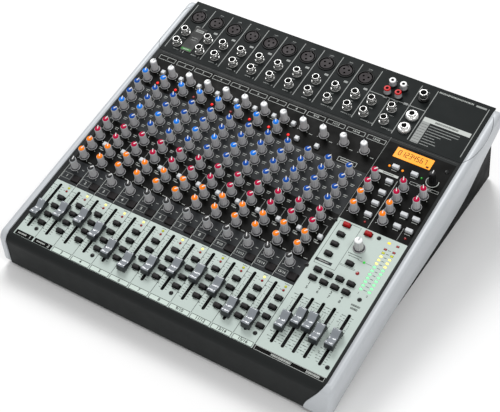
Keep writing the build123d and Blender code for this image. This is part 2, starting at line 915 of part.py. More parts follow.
pointers = [-30, 10, -20, -25, 15, -35, -15, 20, -10, -25, 5]
for (row, place), pointer in zip(strip_knob_places.items(), pointers):
    body, cap = turning_knob(place, pointer=pointer)
    with BuildPart() as knob:
        add(body)
        add(cap)
    save(knob, f"{row}_knob")

big_knobs = {"phones_knob": (phones_place, 1.18), "effects_knob": (encoder_place, 0.95)}
for name, (place, scale) in big_knobs.items():
    body, cap = turning_knob(place, scale)
    with BuildPart() as knob:
        add(body)
        add(cap)
    save(knob, name)


# Faders: a saddle-shaped cap on a metal slider
def fader(x, v):
    """A fader cap centred on (x, v), and its slider down in the channel."""
    half = cap_length / 2
    with BuildPart(mode=Mode.PRIVATE) as cap:
        with BuildSketch(side(x - cap_width / 2)):
            with BuildLine():
                Line((v - half, cap_base), (v + half, cap_base))
                Line((v + half, cap_base), (v + half - 1.2, cap_top - 1.0))
                Line((v + half - 1.2, cap_top - 1.0), (v + half - 2.6, cap_top))
                ThreePointArc(
                    (v + half - 2.6, cap_top), (v, cap_dip), (v - half + 2.6, cap_top)
                )
                Line((v - half + 2.6, cap_top), (v - half + 1.2, cap_top - 1.0))
                Line((v - half + 1.2, cap_top - 1.0), (v - half, cap_base))
            make_face()
        extrude(amount=cap_width)
        fillet(cap.edges().filter_by(GeomType.CIRCLE), 0.8)
        with Locations(slope.location * Location((x, v, cap_base))):
            Box(1.4, 5.2, 9, mode=Mode.SUBTRACT)
    with BuildPart(slope, mode=Mode.PRIVATE) as slider:
        with Locations((x, v, -6.5)):
            Box(1.2, 5, cap_base + 6.5 + 4.2, align=UP)
        with Locations((x, v, channel_foot + channel_wall + 0.5)):
            Box(5.8, 6, channel_height - 2 * channel_wall - 1, align=UP)
    return cap.part, slider.part


for name, (x, v) in fader_rest.items():
    cap, slider = fader(x, v)
    with BuildPart() as whole:
        add(cap)
        add(slider)
    save(whole, name)

# Power supply on the tray, and the ribbon cables between the boards
supply_board_z = foot_height + sheet + 6
with BuildPart() as power_supply:
    with Locations((-60, 95, supply_board_z)):
        Box(150, 80, board_thick, align=UP)
    with Locations((-100, 95, supply_board_z + board_thick + 0.05)):
        Box(44, 50, 34, align=UP)
        Box(52, 40, 26, align=UP)
    with Locations((-30, 75, supply_board_z + board_thick + 0.05)):
        Box(60, 3, 28, align=UP)
        with GridLocations(9, 0, 7, 1):
            Box(1.5, 14, 28, align=UP)
    with Locations(*[(x, 115, supply_board_z + board_thick + 0.05) for x in (-50, -25)]):
        Cylinder(9, 26, align=UP)
    posts = [(x, y, foot_height + sheet + 0.05) for x in (-128, 8) for y in (62, 128)]
    with Locations(*posts):
        Cylinder(3, 5.9, align=UP)
save(power_supply, "power_supply")

ribbon_thick = 1.0
board_under = -board_drop - board_thick - 0.1
connector_under = -connector_board_drop - board_thick - 0.1
ribbon_low = connector_under - 10
with BuildPart() as ribbon_cables:
    for x in (-120, 10, 120):
        with BuildSketch(side(x - 15)):
            with BuildLine() as route:
                Polyline(
                    (215, board_under),
                    (218, ribbon_low),
                    (262, ribbon_low - 4),
                    (262, connector_under),
                    (262 + ribbon_thick, connector_under),
                    (262 + ribbon_thick, ribbon_low - 4 - ribbon_thick),
                    (217, ribbon_low - ribbon_thick),
                    (214, board_under),
                    close=True,
                )
            make_face()
        extrude(amount=30)
save(ribbon_cables, "ribbon_cables")
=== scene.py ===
"""Looks of a desk mixing console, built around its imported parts.

Blender units are metres. Most of it is laid out on the slope, the plane of the control surface,
in millimetres: x to the right, v up the slope (0 at the back end of the fader slots) and w out
of the surface.
"""

import json
import math
import random

import bmesh
import bpy
import numpy as np
from mathutils import Matrix, Vector
from mathutils.bvhtree import BVHTree
from mathutils.geometry import delaunay_2d_cdt


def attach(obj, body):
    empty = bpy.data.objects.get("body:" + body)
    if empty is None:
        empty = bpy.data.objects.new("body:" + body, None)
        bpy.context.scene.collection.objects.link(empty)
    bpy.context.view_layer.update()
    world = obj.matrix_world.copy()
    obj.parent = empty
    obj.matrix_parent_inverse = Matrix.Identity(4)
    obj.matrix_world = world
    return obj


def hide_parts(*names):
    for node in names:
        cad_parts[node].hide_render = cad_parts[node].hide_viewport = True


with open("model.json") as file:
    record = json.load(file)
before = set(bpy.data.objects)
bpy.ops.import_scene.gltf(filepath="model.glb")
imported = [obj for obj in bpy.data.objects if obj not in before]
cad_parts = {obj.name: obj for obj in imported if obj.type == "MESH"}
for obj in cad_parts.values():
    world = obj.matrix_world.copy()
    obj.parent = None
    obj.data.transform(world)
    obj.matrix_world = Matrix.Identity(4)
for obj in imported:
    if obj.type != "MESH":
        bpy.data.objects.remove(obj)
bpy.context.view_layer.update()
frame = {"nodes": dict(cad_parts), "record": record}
rng = random.Random(7)

MM = 0.001
CONSOLE = "console"
tilt = math.radians(12.0)
slope_origin = Vector((0.0, -127.2, 68.6)) * MM
back_v = 323.8
SLOPE = Matrix.Translation(slope_origin) @ Matrix.Rotation(tilt, 4, "X") @ Matrix.Scale(MM, 4)
REAR = SLOPE @ Matrix(((-1, 0, 0, 0), (0, 0, 1, back_v), (0, 1, 0, 0), (0, 0, 0, 1)))

# ------ materials


def linear(colour):
    """An sRGB colour, 0 to 255, as linear RGBA."""
    return tuple((c / 255.0) ** 2.2 for c in colour) + (1.0,)


def preset(node, values):
    """Sets a node's inputs by their names."""
    for name, value in values.items():
        node.inputs[name].default_value = value


def material(
    name,
    colour,
    roughness,
    spread=0.08,
    grain=900.0,
    bump=0.04,
    mottle=0.06,
    metallic=0.0,
    coat=0.0,
    glow=0.0,
    shine=0.5,
):
    """A painted, moulded or plated finish: fine grain in the bump, cloudy colour and gloss."""
    made = bpy.data.materials.new(name)
    made.use_nodes = True
    nodes, links = made.node_tree.nodes, made.node_tree.links
    shader = nodes["Principled BSDF"]
    place = nodes.new("ShaderNodeTexCoord")
    cloud = nodes.new("ShaderNodeTexNoise")
    preset(cloud, {"Scale": 60.0, "Detail": 4.0})
    links.new(place.outputs["Object"], cloud.inputs["Vector"])
    tint = nodes.new("ShaderNodeMix")
    tint.data_type = "RGBA"
    base = linear(colour)
    for side, shade in (("A", 1 - mottle), ("B", 1 + mottle)):
        preset(tint, {side: tuple(min(1, c * shade) for c in base[:3]) + (1,)})
    links.new(cloud.outputs["Fac"], tint.inputs["Factor"])
    links.new(tint.outputs["Result"], shader.inputs["Base Color"])
    gloss = nodes.new("ShaderNodeMapRange")
    dull, shiny = min(1.0, roughness + spread), max(0.02, roughness - spread)
    preset(gloss, {"From Min": 0.3, "From Max": 0.7, "To Min": shiny, "To Max": dull})
    links.new(cloud.outputs["Fac"], gloss.inputs["Value"])
    links.new(gloss.outputs["Result"], shader.inputs["Roughness"])
    fine = nodes.new("ShaderNodeTexNoise")
    preset(fine, {"Scale": grain, "Detail": 3.0})
    links.new(place.outputs["Object"], fine.inputs["Vector"])
    relief = nodes.new("ShaderNodeBump")
    preset(relief, {"Strength": bump, "Distance": 0.0002})
    links.new(fine.outputs["Fac"], relief.inputs["Height"])
    links.new(relief.outputs["Normal"], shader.inputs["Normal"])
    preset(shader, {"Metallic": metallic, "Specular IOR Level": shine})
    preset(shader, {"Coat Weight": coat, "Coat Roughness": 0.12})
    if glow:
        preset(shader, {"Emission Color": base, "Emission Strength": glow})
    return made


def printed(name, colour, roughness=0.5, shine=0.2, bump=0.03, grain=1600, **more):
    """Silk-screen ink, or the paint under it."""
    return material(name, colour, roughness, grain=grain, bump=bump, shine=shine, **more)


def moulded(name, colour, roughness=0.45, bump=0.02, grain=900, **more):
    """Moulded plastic of a cap, key, knob or ring."""
    return material(name, colour, roughness, grain=grain, bump=bump, **more)


def lens(name, colour, glow=0.0, roughness=0.25, **more):
    """The clear, slightly glowing plastic of a lamp."""
    return material(name, colour, roughness, grain=500, bump=0.01, glow=glow, **more)


charcoal = printed("charcoal_paint", (38, 40, 40), 0.5, 0.12, 0.08, 1400, spread=0.05)
charcoal_matt = printed(
    "charcoal_connector_paint", (36, 39, 39), 0.55, 0.08, 0.08, 1400, spread=0.05
)
black_print = printed("black_print", (11, 11, 9), shine=0.08, bump=0.05)
zone_grey = printed("dark_grey_print", (46, 48, 50), shine=0.12, bump=0.05)
mint = printed("mint_print", (186, 199, 193), 0.45, 0.3, 0.05, 1500, mottle=0.03)
box_print = printed("box_print", (202, 216, 208), 0.45, 0.3, grain=1500, mottle=0.02)
light_print = printed("light_print", (192, 196, 192))
dim_print = printed("dim_print", (148, 151, 149))
# painted highlight: a pale grey for the lit edge of the fold where the panel bends up
painted_crease_highlight = printed("painted_crease_highlight", (86, 88, 87))
dark_print = printed("dark_print", (14, 17, 15), shine=0.1)

silver = printed(
    "silver_trim", (190, 194, 198), 0.42, 0.35, 0.01, 60, spread=0.03, mottle=0.015, metallic=0.1
)
seam_grey = printed("trim_seam", (96, 98, 101), bump=0.01, grain=60, mottle=0.02)
chassis = printed("black_chassis", (3, 3, 4), 0.55, 0.06, 0.15, 1300, mottle=0.1)
rubber = printed("rubber", (16, 16, 16), 0.8, 0.2, 0.3, 1000)

knob_body = moulded("knob_grey", (190, 190, 192), 0.42, 0.05, 1100, mottle=0.03)
knob_pale = moulded("knob_pale_grey", (196, 195, 196), 0.38, 0.04, 1100, mottle=0.03)
knob_skirt = moulded("knob_skirt_grey", (64, 64, 67), 0.42, 0.05, 1100, mottle=0.04)
knob_rim = moulded("knob_rim_grey", (194, 197, 200), 0.35, 0.03, 1100, mottle=0.02)
knob_black = moulded("knob_black", (18, 18, 19), 0.45, 0.06, 1100, shine=0.25)
white = moulded("white_cap", (244, 245, 245), 0.4, mottle=0.015)
light_blue = moulded("light_blue_cap", (6, 118, 222), shine=0.1)
blue = moulded("blue_cap", (2, 74, 160), shine=0.08)
crimson = moulded("crimson_cap", (178, 2, 62), shine=0.08)
orange = moulded("orange_cap", (250, 128, 4), shine=0.12)
dark_cap = moulded("dark_cap", (36, 37, 38), 0.42, 0.03, shine=0.25)
fader_grey = moulded("fader_grey", (128, 134, 140), 0.18, 0.015, 700, spread=0.04, coat=0.9)
# painted shade: the cap's grey made darker for its steep sides and ends
fader_painted_shade = moulded("fader_ends_painted_shade", (48, 51, 53), 0.34, 0.05, shine=0.25)
key_black = moulded("key_black", (30, 28, 29), 0.4, 0.03, shine=0.2)
key_dark = moulded("key_dark_grey", (30, 27, 28), 0.5, 0.08, 1000, shine=0.15)
key_white = moulded("key_white", (198, 201, 204), 0.38, 0.03)
key_red = moulded("key_red", (158, 4, 14), 0.36, 0.03, shine=0.15)
phono_grey = moulded("phono_grey", (168, 168, 170), 0.4, 0.04)
red_ring = moulded("red_insulator", (196, 12, 18), 0.38, 0.03, shine=0.3)
# near black: the real colour inside the bores, and painted shade where it stands for slots and
# recesses
bore_black_and_painted_slot_shade = moulded("bore_black_and_painted_slot_shade", (4, 4, 4), 0.7, 0.05, shine=0.1)
socket_black = moulded("socket_black", (9, 9, 10), 0.42, 0.06, 1100, shine=0.2)
socket_core = moulded("socket_core", (44, 38, 40), 0.5, 0.1, 1200, shine=0.2)
badge_black = moulded("badge_black", (12, 14, 12), 0.35, 0.03, shine=0.15)
badge_green = moulded("badge_green", (30, 120, 30), 0.4, 0.03, shine=0.2)
body_plastic = moulded("body_plastic", (30, 30, 32), 0.5, 0.08, 800)
ribbon_grey = moulded("ribbon_grey", (150, 150, 150), 0.55, 0.08, 800)
board_green = moulded("board_green", (18, 70, 40), 0.4, 0.1, 500)

nickel = material("nickel", (178, 178, 176), 0.24, grain=700, bump=0.05, mottle=0.08, metallic=1.0)
chrome = material("chrome", (238, 238, 236), 0.28, grain=700, bump=0.03, mottle=0.03, metallic=0.8)
screw_black = material("screw_black", (30, 31, 31), 0.32, bump=0.08, metallic=0.3)
steel = material("steel", (150, 150, 150), 0.35, grain=600, bump=0.08, metallic=0.9)

amber = lens("amber_display", (255, 158, 28), 0.3, 0.3, mottle=0.03, shine=0.2)
amber_dark = moulded("amber_segments", (62, 26, 4), 0.4, shine=0.1)
lamp_red_off = lens("lamp_red_dark", (142, 12, 18), roughness=0.2, coat=0.4)
lamp_red = lens("lamp_red_lit", (236, 26, 20), 0.7)
lamp_orange = lens("lamp_orange_lit", (250, 140, 20), 0.4)
lamp_green = lens("lamp_green", (20, 120, 30), 0.25)
lamp_green_on = lens("lamp_green_on", (60, 190, 70), 0.4)
lamp_green_lit = lens("lamp_green_lit", (140, 242, 166), 0.55, 0.35, shine=0.2)
lamp_yellow = lens("lamp_yellow", (186, 190, 40), 0.1)
lamp_yellow_lit = lens("lamp_yellow_lit", (252, 240, 138), 0.6, 0.35, shine=0.2)
lamp_amber_lit = lens("lamp_amber_lit", (255, 206, 60), 0.7, 0.35, shine=0.2)

# ------ meshes


def linked(name, data):
    """A new object in the scene."""
    made = bpy.data.objects.new(name, data)
    bpy.context.scene.collection.objects.link(made)
    return made


class Piece:
    """A mesh gathered from shapes in millimetres on a plane, one material slot per finish."""

    def __init__(self, name):
        self.name, self.verts, self.faces, self.slots, self.flat = name, [], [], [], []
        self.finishes = []

    def add(self, shape, finish, place=None, smooth=True):
        verts, faces = shape
        start = len(self.verts)
        if place is None:
            self.verts.extend(tuple(v) for v in verts)
        else:
            self.verts.extend(tuple(place @ Vector(v)) for v in verts)
        if finish not in self.finishes:
            self.finishes.append(finish)
        slot = self.finishes.index(finish)
        for face in faces:
            self.faces.append([start + i for i in face])
            self.slots.append(slot)
            self.flat.append(not smooth)

    def make(self, body=CONSOLE, plane=SLOPE, slot=None, replaces=(), sharp=35):
        mesh = bpy.data.meshes.new(self.name)
        mesh.from_pydata([tuple(plane @ Vector(v)) for v in self.verts], [], self.faces)
        for finish in self.finishes:
            mesh.materials.append(finish)
        mesh.polygons.foreach_set("material_index", self.slots)
        mesh.polygons.foreach_set("use_smooth", [not f for f in self.flat])
        mesh.validate()
        made = linked(self.name, mesh)
        mesh.set_sharp_from_angle(angle=math.radians(sharp))
        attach(made, body)
        if replaces:
            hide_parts(*replaces)


def bands(rings, n):
    """The faces between closed rings of n points each."""
    edges = [(r * n + k, r * n + (k + 1) % n) for r in range(rings - 1) for k in range(n)]
    return [(a, b, b + n, a + n) for a, b in edges]


def lathe(profile, segments=32, ribs=0, rib_depth=0.0, ribbed=(0.0, 0.0), close=True):
    """A shape turned about w from (radius, w) points; ribs wave the radius between two heights."""
    verts = []
    for radius, w in profile:
        for k in range(segments):
            angle = math.tau * k / segments
            r = radius
            if ribs and ribbed[0] <= w <= ribbed[1]:
                r -= rib_depth * (0.5 - 0.5 * math.cos(ribs * angle))
            verts.append((r * math.cos(angle), r * math.sin(angle), w))
    faces = bands(len(profile), segments)
    if close:
        last = (len(profile) - 1) * segments
        faces.append(tuple(last + k for k in range(segments)))
        faces.append(tuple(reversed(range(segments))))
    return verts, faces


def block(size, middle):
    """A box by its size and middle."""
    verts = []
    for z in (-0.5, 0.5):
        for x, y in ((-0.5, -0.5), (0.5, -0.5), (0.5, 0.5), (-0.5, 0.5)):
            verts.append(tuple(m + c * s for m, c, s in zip(middle, (x, y, z), size)))
    faces = [(3, 2, 1, 0), (4, 5, 6, 7), (0, 1, 5, 4), (1, 2, 6, 5), (2, 3, 7, 6), (3, 0, 4, 7)]
    return verts, faces


def prism(outline, low, high):
    """A flat outline, given anticlockwise, raised between two heights."""
    n = len(outline)
    verts = [(x, y, low) for x, y in outline] + [(x, y, high) for x, y in outline]
    faces = [tuple(reversed(range(n))), tuple(range(n, 2 * n))]
    faces += [(k, (k + 1) % n, n + (k + 1) % n, n + k) for k in range(n)]
    return verts, faces


def rounded(width, depth, radius, steps=5):
    """The outline of a rectangle with rounded corners, anticlockwise."""
    points = []
    for sx, sy, start in ((1, 1, 0), (-1, 1, 90), (-1, -1, 180), (1, -1, 270)):
        cx, cy = sx * (width / 2 - radius), sy * (depth / 2 - radius)
        for k in range(steps + 1):
            angle = math.radians(start + 90 * k / steps)
            points.append((cx + radius * math.cos(angle), cy + radius * math.sin(angle)))
    return points


def outline_at(x, v, width, depth, radius=0.05, steps=1):
    """The outline of a rounded rectangle round (x, v)."""
    return [(x + px, v + pv) for px, pv in rounded(width, depth, radius, steps)]


def circle(x, v, radius, count):
    """A polygon round (x, v)."""
    turns = [math.tau * k / count for k in range(count)]
    return [(x + radius * math.cos(a), v + radius * math.sin(a)) for a in turns]


def dome_key(width, depth, top, foot, radius=1.0):
    """A key cap: rounded corners, a softened rim and a slightly dished top."""
    rings = ((0.0, foot), (0.0, top - 0.55), (0.12, top - 0.2), (0.4, top - 0.03), (0.75, top))
    verts, n = [], 0
    for inset, w in rings:
        ring = rounded(width - 2 * inset, depth - 2 * inset, max(0.3, radius - inset * 0.5))
        n = len(ring)
        verts.extend((x, y, w) for x, y in ring)
    faces = bands(len(rings), n)
    top_start = (len(rings) - 1) * n
    verts.append((0, 0, top - 0.12))
    middle = len(verts) - 1
    faces += [(top_start + k, top_start + (k + 1) % n, middle) for k in range(n)]
    faces.append(tuple(reversed(range(n))))
    return verts, faces


def at(x, v, w=0.0, turn=0.0):
    return Matrix.Translation((x, v, w)) @ Matrix.Rotation(math.radians(turn), 4, "Z")


# ------ places, read from the parts


def slope_points(node):
    mesh = frame["nodes"][node].data
    co = np.empty(len(mesh.vertices) * 3)
    mesh.vertices.foreach_get("co", co)
    co = co.reshape(-1, 3) / MM
    local = co - np.array(slope_origin) / MM
    c, s = math.cos(tilt), math.sin(tilt)
    return np.column_stack(
        (local[:, 0], local[:, 1] * c + local[:, 2] * s, local[:, 2] * c - local[:, 1] * s)
    )


def solids(node):
    """Each solid of a part on the slope, as (lowest, highest) corner, in order of v and x."""
    mesh = frame["nodes"][node].data
    points = slope_points(node)
    key = np.round(points / 0.002).astype(np.int64)
    _, merged = np.unique(key, axis=0, return_inverse=True)
    merged = merged.ravel()
    edges = np.empty(len(mesh.edges) * 2, np.int64)
    mesh.edges.foreach_get("vertices", edges)
    a, b = merged[edges[0::2]], merged[edges[1::2]]
    label = np.arange(merged.max() + 1)
    while True:
        low = np.minimum(label[a], label[b])
        before = label.copy()
        np.minimum.at(label, a, low)
        np.minimum.at(label, b, low)
        label = label[label]
        if np.array_equal(label, before):
            break
    owner = label[merged]
    groups = [points[owner == o] for o in np.unique(owner)]
    found = [(own.min(0), own.max(0)) for own in groups]
    return sorted(found, key=lambda s: (round(s[0][1] + s[1][1], 1), s[0][0]))


def middle_of(solid):
    """The middle of a solid on the slope, as (x, v)."""
    lo, hi = solid
    return float(lo[0] + hi[0]) / 2, float(lo[1] + hi[1]) / 2


def behind(solid):
    """The middle of a solid on the rear plane."""
    lo, hi = solid
    return -float(lo[0] + hi[0]) / 2, float(lo[2] + hi[2]) / 2


def middles(node):
    return [middle_of(solid) for solid in solids(node)]


def nearest(values, wanted):
    """The index of the value nearest to the one wanted."""
    return min(range(len(values)), key=lambda k: abs(values[k] - wanted))


def body_of(node):
    for body, members in frame["record"]["behaviour"]["bodies"].items():
        if node in members:
            return body
    return CONSOLE


fader_places = {}
for n in sorted(frame["nodes"]):
    if n == "main_fader" or "fader_" in n and n != "fader_bodies":
        points = slope_points(n)
        fader_places[n] = middle_of((points.min(0), points.max(0)))
strip_xs = sorted(x for n, (x, v) in fader_places.items() if n.startswith("fader_"))
pitch = (strip_xs[-1] - strip_xs[0]) / (len(strip_xs) - 1)
group_xs = sorted(x for n, (x, v) in fader_places.items() if n.startswith("group_"))
main_x = fader_places["main_fader"][0]
slot_length, slot_width = 67.0, 3.0
mono_count = 8

fixed_knobs = middles("fixed_knobs")
# each row of knobs, from the back: its caps' finish, and the angle in the first strip
knob_rows = {
    "gain": (white, -30),
    "compressor": (light_blue, 10),
    "treble": (blue, -20),
    "mid": (blue, -25),
    "mid_frequency": (light_blue, 15),
    "bass": (blue, -35),
    "send_1": (crimson, -15),
    "send_2": (crimson, 20),
    "send_3": (orange, -10),
    "send_4": (orange, -25),
    "pan": (dark_cap, 5),
}
turning = {row: middles(f"{row}_knob")[0] for row in knob_rows}
phones_place = middles("phones_knob")[0]
encoder_place = middles("effects_knob")[0]
key_nodes = ("channel_keys", "mute_keys", "white_keys", "red_keys", "master_keys")
keys = {n: middles(n) for n in key_nodes}
lamps = solids("lamps")
screws = [m for m in solids("fasteners") if m[1][2] > 0.5]
sockets = solids("jack_sockets")
xlrs = solids("xlr_sockets")
rear_outputs = solids("rear_output_sockets")
phonos = middles("phono_sockets")
lamp_socket_place = middles("lamp_socket")[0]
display = solids("display_window")[0]
badge = solids("badge_plate")[0]

# ------ knobs

SKIRT_R, FOOT_R, TOP_R = 6.0, 4.45, 4.1
BASE_W, BODY_TOP, CAP_TOP = 0.35, 15.8, 16.9


def knob(piece, place, cap, angle, scale=1.0, body=knob_body, skirt_finish=knob_skirt):
    """A fluted knob with a dark skirt, a light rim, a coloured cap and a white pointer ridge."""
    x, v = place
    spot = at(x, v, 0, angle)
    skirt, foot, tip = SKIRT_R * scale, FOOT_R * scale, TOP_R * scale
    collar = [(skirt - 0.3, BASE_W), (skirt, BASE_W + 0.2), (skirt, BASE_W + 0.8)]
    collar += [(skirt - 0.45, BASE_W + 1.05), (foot + 0.2, BASE_W + 1.1)]
    collar += [(foot - 0.3, BASE_W + 1.9)]
    piece.add(lathe(collar, 48), skirt_finish, spot)
    edge = [(skirt - 0.42, BASE_W + 1.04), (skirt - 0.32, BASE_W + 1.2)]
    edge += [(skirt - 0.12, BASE_W + 1.16), (skirt + 0.03, BASE_W + 0.95)]
    edge += [(skirt + 0.03, BASE_W + 0.7)]
    piece.add(lathe(edge, 48, close=False), body, spot)
    wall = []
    rise = BODY_TOP - 1.1 - BASE_W - 1.8
    for k in range(7):
        t = k / 6
        wall.append((foot + (tip - foot) * t ** 0.8, BASE_W + 1.8 + rise * t))
    piece.add(lathe(wall, 80, ribs=12, rib_depth=0.6, ribbed=(0, BODY_TOP)), body, spot)
    rim = [(tip - 0.6, BODY_TOP - 1.3), (tip - 0.05, BODY_TOP - 1.2), (tip + 0.05, BODY_TOP - 0.9)]
    rim += [(tip + 0.02, BODY_TOP - 0.25), (tip - 0.15, BODY_TOP), (tip - 0.6, BODY_TOP)]
    piece.add(lathe(rim, 48), knob_rim if body is not knob_black else knob_black, spot)
    crown = [(tip - 0.5, BODY_TOP - 0.4), (tip - 0.5, CAP_TOP - 0.55), (tip - 0.7, CAP_TOP - 0.2)]
    crown += [(tip - 1.15, CAP_TOP), (1.2, CAP_TOP - 0.15), (0.3, CAP_TOP - 0.2)]
    piece.add(lathe(crown, 36), cap, spot)
    long = tip - 0.35
    fin = [(-0.62, -0.4), (0.62, -0.4), (0.5, long), (-0.5, long)]
    verts, faces = prism(fin, CAP_TOP - 0.4, CAP_TOP + 0.25)
    raised = []
    for px, py, pz in verts:
        crest = pz > CAP_TOP
        raised.append((px * (0.7 if crest else 1.0), py, pz + (1.1 if crest and py > 1 else 0.1)))
    piece.add((raised, faces), white if cap is not white else knob_rim, spot, smooth=False)


strip_end = strip_xs[-1] + 18


def cap_for(row, x):
    if row == "mid_frequency" and x > strip_xs[mono_count - 1] + 5:
        return blue
    return knob_rows[row][0]


for row, (x0, v0) in turning.items():
    look = knob_pale if row == "gain" else knob_body
    piece = Piece(f"{row}_knob_detail")
    knob(piece, (x0, v0), cap_for(row, x0), knob_rows[row][1], body=look)
    piece.make(body_of(f"{row}_knob"), slot="knob_grey", replaces=[f"{row}_knob"])
    rest = Piece(f"{row}_knobs")
    for x, v in fixed_knobs:
        if x < strip_end and abs(v - v0) < 2:
            angle = rng.choice((25, 25, 20, -45, -50, -40))
            knob(rest, (x, v), cap_for(row, x), angle, body=look)
    rest.make(slot="knob_grey", replaces=["fixed_knobs"])

master = Piece("master_knobs")
master_rows = sorted({round(v) for x, v in fixed_knobs if x > strip_end}, reverse=True)
for x, v in fixed_knobs:
    if x > strip_end:
        finish = crimson if nearest(master_rows, v) < 2 else orange
        knob(master, (x, v), finish, rng.choice((25, 20, -50, 10)))
master.make(slot="knob_grey", replaces=["fixed_knobs"])

phones = Piece("phones_knob_detail")
knob(phones, phones_place, white, 0, scale=1.18, body=knob_pale)
phones.make(body_of("phones_knob"), slot="knob_grey", replaces=["phones_knob"])
encoder = Piece("effects_knob_detail")
knob(encoder, encoder_place, knob_black, 0, 0.95, knob_black, knob_black)
encoder.make(body_of("effects_knob"), slot="knob_black", replaces=["effects_knob"])

# ------ faders

CAP_HALF, CAP_BASE, CAP_HIGH, CAP_DIP = 12.0, 1.4, 10.6, 7.6
FOOT_RINGS = ((0.92, 0.12, 0.25), (0.5, 0.45, 0.8), (0.12, 0.62, 1.45), (0.0, 0.55, 1.4))


def fader_cap():
    """A saddle with a dished back, crisp crests and steep ends, in one skin and one foot, painted
    darker as shade on its steep sides and ends.
    """
    steps, across = 26, 10
    verts, faces = [], []
    crest = CAP_HALF - 1.6
    for i in range(steps + 1):
        t = -1 + 2 * i / steps
        v = t * crest
        climb = 0.5 - 0.5 * math.cos(math.pi * min(1, abs(t) * 1.12))
        top = CAP_DIP + (CAP_HIGH - CAP_DIP) * climb
        lip = max(0.0, abs(t) - 0.9) / 0.1
        top -= 0.5 * lip ** 2
        half = 4.5 + 0.45 * t * t
        for j in range(across + 1):
            s = -1 + 2 * j / across
            rim = max(0.0, abs(s) - 0.8) / 0.2
            verts.append((s * half, v, top - 0.45 * rim ** 2 - 0.5 * (1 - s * s)))
    wide = across + 1
    for i in range(steps):
        for j in range(across):
            a = i * wide + j
            faces.append((a, a + 1, a + wide + 1, a + wide))
    loop = list(range(across + 1))
    loop += [i * wide + across for i in range(1, steps + 1)]
    loop += [steps * wide + j for j in range(across - 1, -1, -1)]
    loop += [i * wide for i in range(steps - 1, 0, -1)]
    top_ring = [verts[k] for k in loop]
    foot_verts = list(top_ring)
    n = len(loop)
    for level, out_x, out_v in FOOT_RINGS:
        for x, v, w in top_ring:
            foot = CAP_BASE + (w - CAP_BASE) * level
            bulge = 0.4 * (v / crest) ** 4
            grow_x = out_x * (0.55 + bulge) * (1 if x > 0 else -1) * min(1, abs(x) / 4.4)
            grow_v = out_v * (1 if v > 0 else -1) * max(0.0, abs(v) / crest - 0.86) / 0.14
            foot_verts.append((x + grow_x, v + grow_v, foot))
    foot_faces = [(a, d, c, b) for a, b, c, d in bands(len(FOOT_RINGS) + 1, n)]
    foot_faces.append(tuple(len(FOOT_RINGS) * n + k for k in reversed(range(n))))
    return (verts, faces), (foot_verts, foot_faces)


cap_skin, cap_foot = fader_cap()
for name, (x, v) in fader_places.items():
    piece = Piece(f"{name}_detail")
    piece.add(cap_skin, fader_grey, at(x, v))
    # the foot's darker grey is painted shade on the cap's steep sides and ends
    piece.add(cap_foot, fader_painted_shade, at(x, v))
    piece.add(block((1.2, 5, 10.5), (0, 0, -3.0)), steel, at(x, v), smooth=False)
    piece.add(block((5.6, 6, 4.5), (0, 0, -9.0)), body_plastic, at(x, v), smooth=False)
    piece.make(body_of(name), slot="fader_cap", replaces=[name], sharp=50)

# ------ keys

key_looks = {
    "channel_keys": (key_black, (8.4, 4.6), 4.0, "key_black"),
    "mute_keys": (key_dark, (10.0, 8.6), 1.6, "key_grey"),
    "red_keys": (key_red, (8.4, 4.6), 4.0, "key_red"),
    "master_keys": (key_black, (8.4, 4.6), 4.0, "key_black"),
    "white_keys": (key_white, None, 4.0, "key_white"),
}
small_size, wide_size = (5.2, 5.2), (8.4, 4.6)


def key_spans(node):
    """The place and the size of each key of a node."""
    for lo, hi in solids(node):
        size = key_looks[node][1] or (small_size if hi[0] - lo[0] < 7 else wide_size)
        yield middle_of((lo, hi)), size


for node, (finish, _, top, slot) in key_looks.items():
    piece = Piece(f"{node}_detail")
    for (x, v), span in key_spans(node):
        corner = 0.55 if node == "white_keys" else 1.0
        piece.add(dome_key(*span, top, -2.0, corner), finish, at(x, v))
        piece.add(block((2.4, 2.4, 1.6), (0, 0, -2.7)), finish, at(x, v), smooth=False)
    piece.make(body_of(node), slot=slot, replaces=[node], sharp=60)

# ------ sockets


def thread(radius, low, high, step=0.75, depth=0.22):
    """The outline of a screw thread, as (radius, w)."""
    points = []
    w = low
    while w < high - step:
        points += [(radius, w), (radius, w + 0.25), (radius - depth, w + 0.45)]
        w += step
    return points


def jack(barrels, place, ringed=False):
    """A jack socket: washer, hexagon nut or broad ring, threaded tube, bore and housing."""
    spot = at(*place)
    washer = [(5.3, 0.1), (6.0, 0.1), (6.1, 0.5), (5.6, 0.75), (4.0, 0.8)]
    barrels.add(lathe(washer, 40), nickel, spot)
    if ringed:
        dish = [(7.0, 0.15), (7.9, 0.25), (8.1, 1.0), (8.0, 2.4), (7.6, 3.5), (7.0, 4.3)]
        dish += [(6.3, 4.75), (5.6, 4.85), (5.0, 4.6), (4.6, 4.3)]
        barrels.add(lathe(dish, 56), chrome, spot)
    else:
        barrels.add(prism(circle(0, 0, 5.75, 6), 0.75, 3.0), nickel, spot, smooth=False)
        barrels.add(lathe([(4.9, 2.9), (5.2, 3.0), (4.95, 3.4), (4.4, 3.5)], 40), nickel, spot)
        barrels.add(lathe([(4.95, 3.4), (4.85, 5.2), (4.6, 5.5)], 40, close=False), nickel, spot)
    top = 7.2 if ringed else 9.0
    tube = [(4.2, 0.3)] + thread(4.7, 0.6, top - 1) + [(4.7, top - 1.1), (4.65, top - 0.5)]
    tube += [(4.35, top - 0.1), (3.95, top), (3.5, top - 0.15), (3.27, top - 0.6)]
    barrels.add(lathe(tube, 40, close=False), nickel if not ringed else chrome, spot)
    bore = [(3.27, top - 0.6), (3.25, 5.0), (3.25, -16.0), (0.3, -16.2)]
    barrels.add(lathe(bore, 32), bore_black_and_painted_slot_shade, spot)
    barrels.add(block((11, 12, 17.2), (0, 0, -10.8)), body_plastic, spot, smooth=False)


